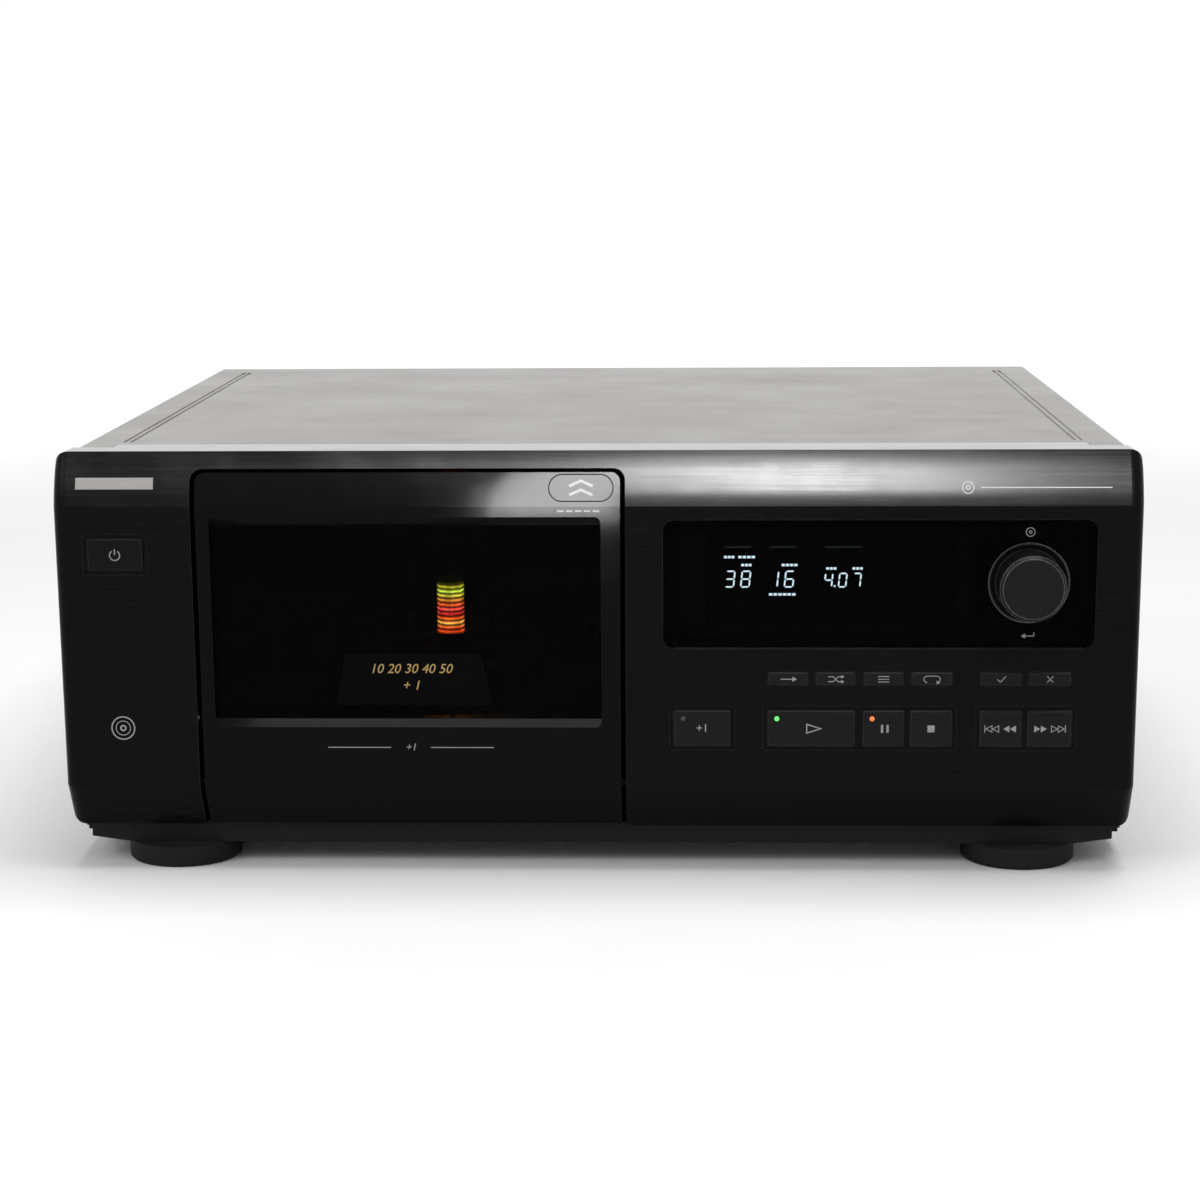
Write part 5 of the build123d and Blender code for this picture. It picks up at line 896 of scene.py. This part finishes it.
GLOW = [("grain", {"Size": 0.5, "Relief": 0.0, "Shade": 0.1})]
lamp_green = emit(Finish("lamp_green", (0.02, 0.25, 0.03), 0.2, GLOW), (0.12, 1.0, 0.14), 1.6)
lamp_red = emit(Finish("lamp_red", (0.3, 0.03, 0.01), 0.2, GLOW), (1.0, 0.14, 0.03), 1.8)
lamp_off = Finish("lamp_off", (0.05, 0.045, 0.04), 0.2, GLOW)
lens("lamp_play", "play_key", 72.1, lamp_green)
lens("lamp_pause", "pause_key", 109.9, lamp_red)
lens("lamp_plus_one", "plus_one_key", 34.9, lamp_off)


# ------------------------------------------------------------------ rear sockets
REAR_OUTSIDE = 194.5              # outer face of the rear panel
RING_BACK = 195.0                 # outer face of the phono sockets' plate
RING_SUNK, RING_PROUD = 0.02, 1.0
RING_INNER, RING_OUTER = 4.17, 5.1
FRAME_LEFT, FRAME_RIGHT = PHONO_X - 10.0, PHONO_X + 10.0
FRAME_LOW, FRAME_HIGH = 22.0, 58.0
CONTROL_JACKS, CONTROL_Z = (90.0, 106.0), 42.0
OPTICAL_MARK = (128.0, 42.5)


def collar(x, z, start, end, edge=0.25):
    """A ring about a socket's axis, with its outer corner bevelled."""
    return turned([(RING_INNER, start), (RING_OUTER, start), (RING_OUTER, end - edge),
                   (RING_OUTER - edge, end), (RING_INNER, end)], x, z, 48, closed=True)


def rear(x, z):
    """The y of the rear panel's outer face, which is flat."""
    return REAR_OUTSIDE


ring_white = Finish("ring_white", (0.7, 0.7, 0.68), 0.4, [SOFT_GRAIN])
ring_red = Finish("ring_red", (0.5, 0.02, 0.02), 0.4, [SOFT_GRAIN])
for name, z, finish in (("phono_ring_left", PHONO_HIGH, ring_white),
                        ("phono_ring_right", PHONO_LOW, ring_red)):
    printed(name, [collar(PHONO_X, z, RING_BACK - RING_SUNK, RING_BACK + RING_PROUD)], finish, "root")
printed("rear_marks", [
    ribbon([(FRAME_LEFT, FRAME_LOW), (FRAME_RIGHT, FRAME_LOW), (FRAME_RIGHT, FRAME_HIGH),
            (FRAME_LEFT, FRAME_HIGH)], rear, 0.5, True),
    *(ribbon(circle(x, CONTROL_Z, 1.6), rear, 0.4, True) for x in CONTROL_JACKS),
    patch(arrow(*OPTICAL_MARK, 3.0, 3.0), rear)], print_silver, "root")


# ---- gauze behind the rear vents
GAUZE_SPAN = (-66.0, 54.0, 58.0, 94.0)      # left, right, low, high
GAUZE_THICK = 0.3
GAUZE_SETBACK = 0.55              # in front of the rear panel's inner face


def gauze(x0, x1, z0, z1, y, pitch=2.0, deep=0.35):
    """A woven sheet: y plus half its depth times sin(pi x / pitch) times sin(pi z / pitch)."""
    x, z = np.meshgrid(np.arange(x0, x1 + 0.1, pitch / 2), np.arange(z0, z1 + 0.1, pitch / 2), indexing="ij")
    wave = deep / 2 * np.sin(np.pi * x / pitch) * np.sin(np.pi * z / pitch)
    front, back = np.stack([x, y + wave, z], -1), np.stack([x, y + GAUZE_THICK + wave, z], -1)
    rim = [np.concatenate([side[0], side[1:, -1], side[-1, -2::-1], side[-2:0:-1, 0]])
           for side in (front, back)]
    return [grid(front), grid(back), grid(np.stack(rim), around=True)]


gauze_black = Finish("gauze_black", (0.006, 0.006, 0.006), 0.8, [GRAIN], Specular_IOR_Level=0.1)
rear_inside = span("rear_panel")[0][1]
printed("vent_gauze", gauze(*GAUZE_SPAN, rear_inside - GAUZE_SETBACK), gauze_black, "root")


# ------------------------------------------------------------------ floor, light and camera
FLOOR_REACH = 12000.0             # half the floor's side
FLOOR_LIT = (0.45, 1.6)           # metres from the middle: its own light begins, and is full
WORLD_SEEN, WORLD_ON_THINGS = 1.0, 0.5


def ground():
    """Flat square floor at z = 0."""
    side = np.linspace(-FLOOR_REACH, FLOOR_REACH, 9)
    x, y = np.meshgrid(side, side, indexing="ij")
    return np.stack([x, y, np.zeros_like(x)], -1)


floor_white = Finish("floor_white", (0.9, 0.9, 0.9), 0.7, [
    ("grain", {"Size": 40.0, "Relief": 0.0, "Shade": 0.01})], Specular_IOR_Level=0.1)
reach = floor_white.node("VectorMath", {"operation": "LENGTH"}).outputs["Value"]
floor_white.link(floor_white.place, reach.node.inputs[0])
far = floor_white.ramp(reach, *FLOOR_LIT)
bounce = floor_white.node("LightPath").outputs["Is Diffuse Ray"]
emit(floor_white, (1, 1, 1), floor_white.times(far, floor_white.math("SUBTRACT", 1.0, bounce)))
floor_white.put(floor_white.shader.inputs["Base Color"], floor_white.shade(
    floor_white.colour, floor_white.math("SUBTRACT", 1.0, far)))
mesh("floor", [grid(ground(), flip=True)], floor_white)

world = bpy.data.worlds.new("studio")
scene.world = world
world.use_nodes = True
air = world.node_tree
background = air.nodes["Background"]
seen = air.nodes.new("ShaderNodeLightPath")
strength = air.nodes.new("ShaderNodeMapRange")
strength.inputs["To Min"].default_value = WORLD_SEEN
strength.inputs["To Max"].default_value = WORLD_ON_THINGS
air.links.new(seen.outputs["Is Diffuse Ray"], strength.inputs["Value"])
air.links.new(strength.outputs[0], background.inputs["Strength"])
background.inputs["Color"].default_value = (1, 1, 1, 1)


def only_on(source, nodes):
    """Let a lamp or a lit piece light these nodes alone."""
    shown = bpy.data.collections.new(source.name + " shows in")
    for node in nodes:
        shown.objects.link(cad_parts[node])
    source.light_linking.receiver_collection = shown


def lamp(name, place, target, size, watts, gloss_of=()):
    """Rectangular lamp turned towards a target; with gloss_of, it shows in those nodes' gloss alone."""
    data = bpy.data.lights.new(name, "AREA")
    data.shape = "RECTANGLE"
    data.size, data.size_y = size[0] / 1000, size[1] / 1000
    data.energy = watts
    made = bpy.data.objects.new(name, data)
    scene.collection.objects.link(made)
    place, target = np.array(place, float), np.array(target, float)
    back = (place - target) / np.linalg.norm(place - target)
    right = np.cross((0.0, 0, 1) if abs(back[2]) < 0.95 else (0.0, 1, 0), back)
    right /= np.linalg.norm(right)
    up = np.cross(back, right)
    pose = Matrix(np.column_stack([right, up, back]).tolist()).to_4x4()
    pose.translation = place / 1000
    made.matrix_world = pose
    if gloss_of:
        made.visible_diffuse = False
        only_on(made, gloss_of)


only_on(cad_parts["light_column"], [
    "door_window", "rotary_table", "centre_post", "mech_frame", "clamp_arm"])
lamp("overhead", (160, -60, 1500), (60, 0, 100), (1100, 900), 16.0)
lamp("fill", (-1500, -1200, 1300), (0, 0, 60), (1200, 1000), 10.0)
lamp("softbox", (165, -2100, 1760), (70, -185, 155), (370, 1340), 505.0, ("front_bezel", "door_frame"))
lamp("sill", (-64, -1090, 78), (-16, -185, 146), (98, 140), 4.0, ("door_frame",))
lamp("window", (-142, -2520, 1050), (-20, -185, 155), (184, 2120), 135.0, ("door_frame",))

CAMERA_PLACE = (0.03888, -1.20589, 0.29884)      # metres
CAMERA_YAW, CAMERA_PITCH, CAMERA_ROLL = -0.036487, 0.21818, -0.006807
CAMERA_LENS, CAMERA_SHIFT = 78.593, 0.08
camera = bpy.data.objects.new("camera", bpy.data.cameras.new("camera"))
scene.collection.objects.link(camera)
camera.data.sensor_width = 36.0
camera.data.lens = CAMERA_LENS
camera.data.shift_y = CAMERA_SHIFT
heading = np.array([math.sin(CAMERA_YAW), math.cos(CAMERA_YAW), 0.0])
ahead = heading * math.cos(CAMERA_PITCH) - np.array([0, 0, math.sin(CAMERA_PITCH)])
level_right = np.array([math.cos(CAMERA_YAW), -math.sin(CAMERA_YAW), 0.0])
level_up = np.cross(level_right, ahead)
right = math.cos(CAMERA_ROLL) * level_right + math.sin(CAMERA_ROLL) * level_up
up = math.cos(CAMERA_ROLL) * level_up - math.sin(CAMERA_ROLL) * level_right
stand = Matrix(np.column_stack([right, up, -ahead]).tolist()).to_4x4()
stand.translation = CAMERA_PLACE
camera.matrix_world = stand
camera.data.clip_start, camera.data.clip_end = 0.05, 30.0
scene.camera = camera
scene.view_settings.view_transform = "Standard"
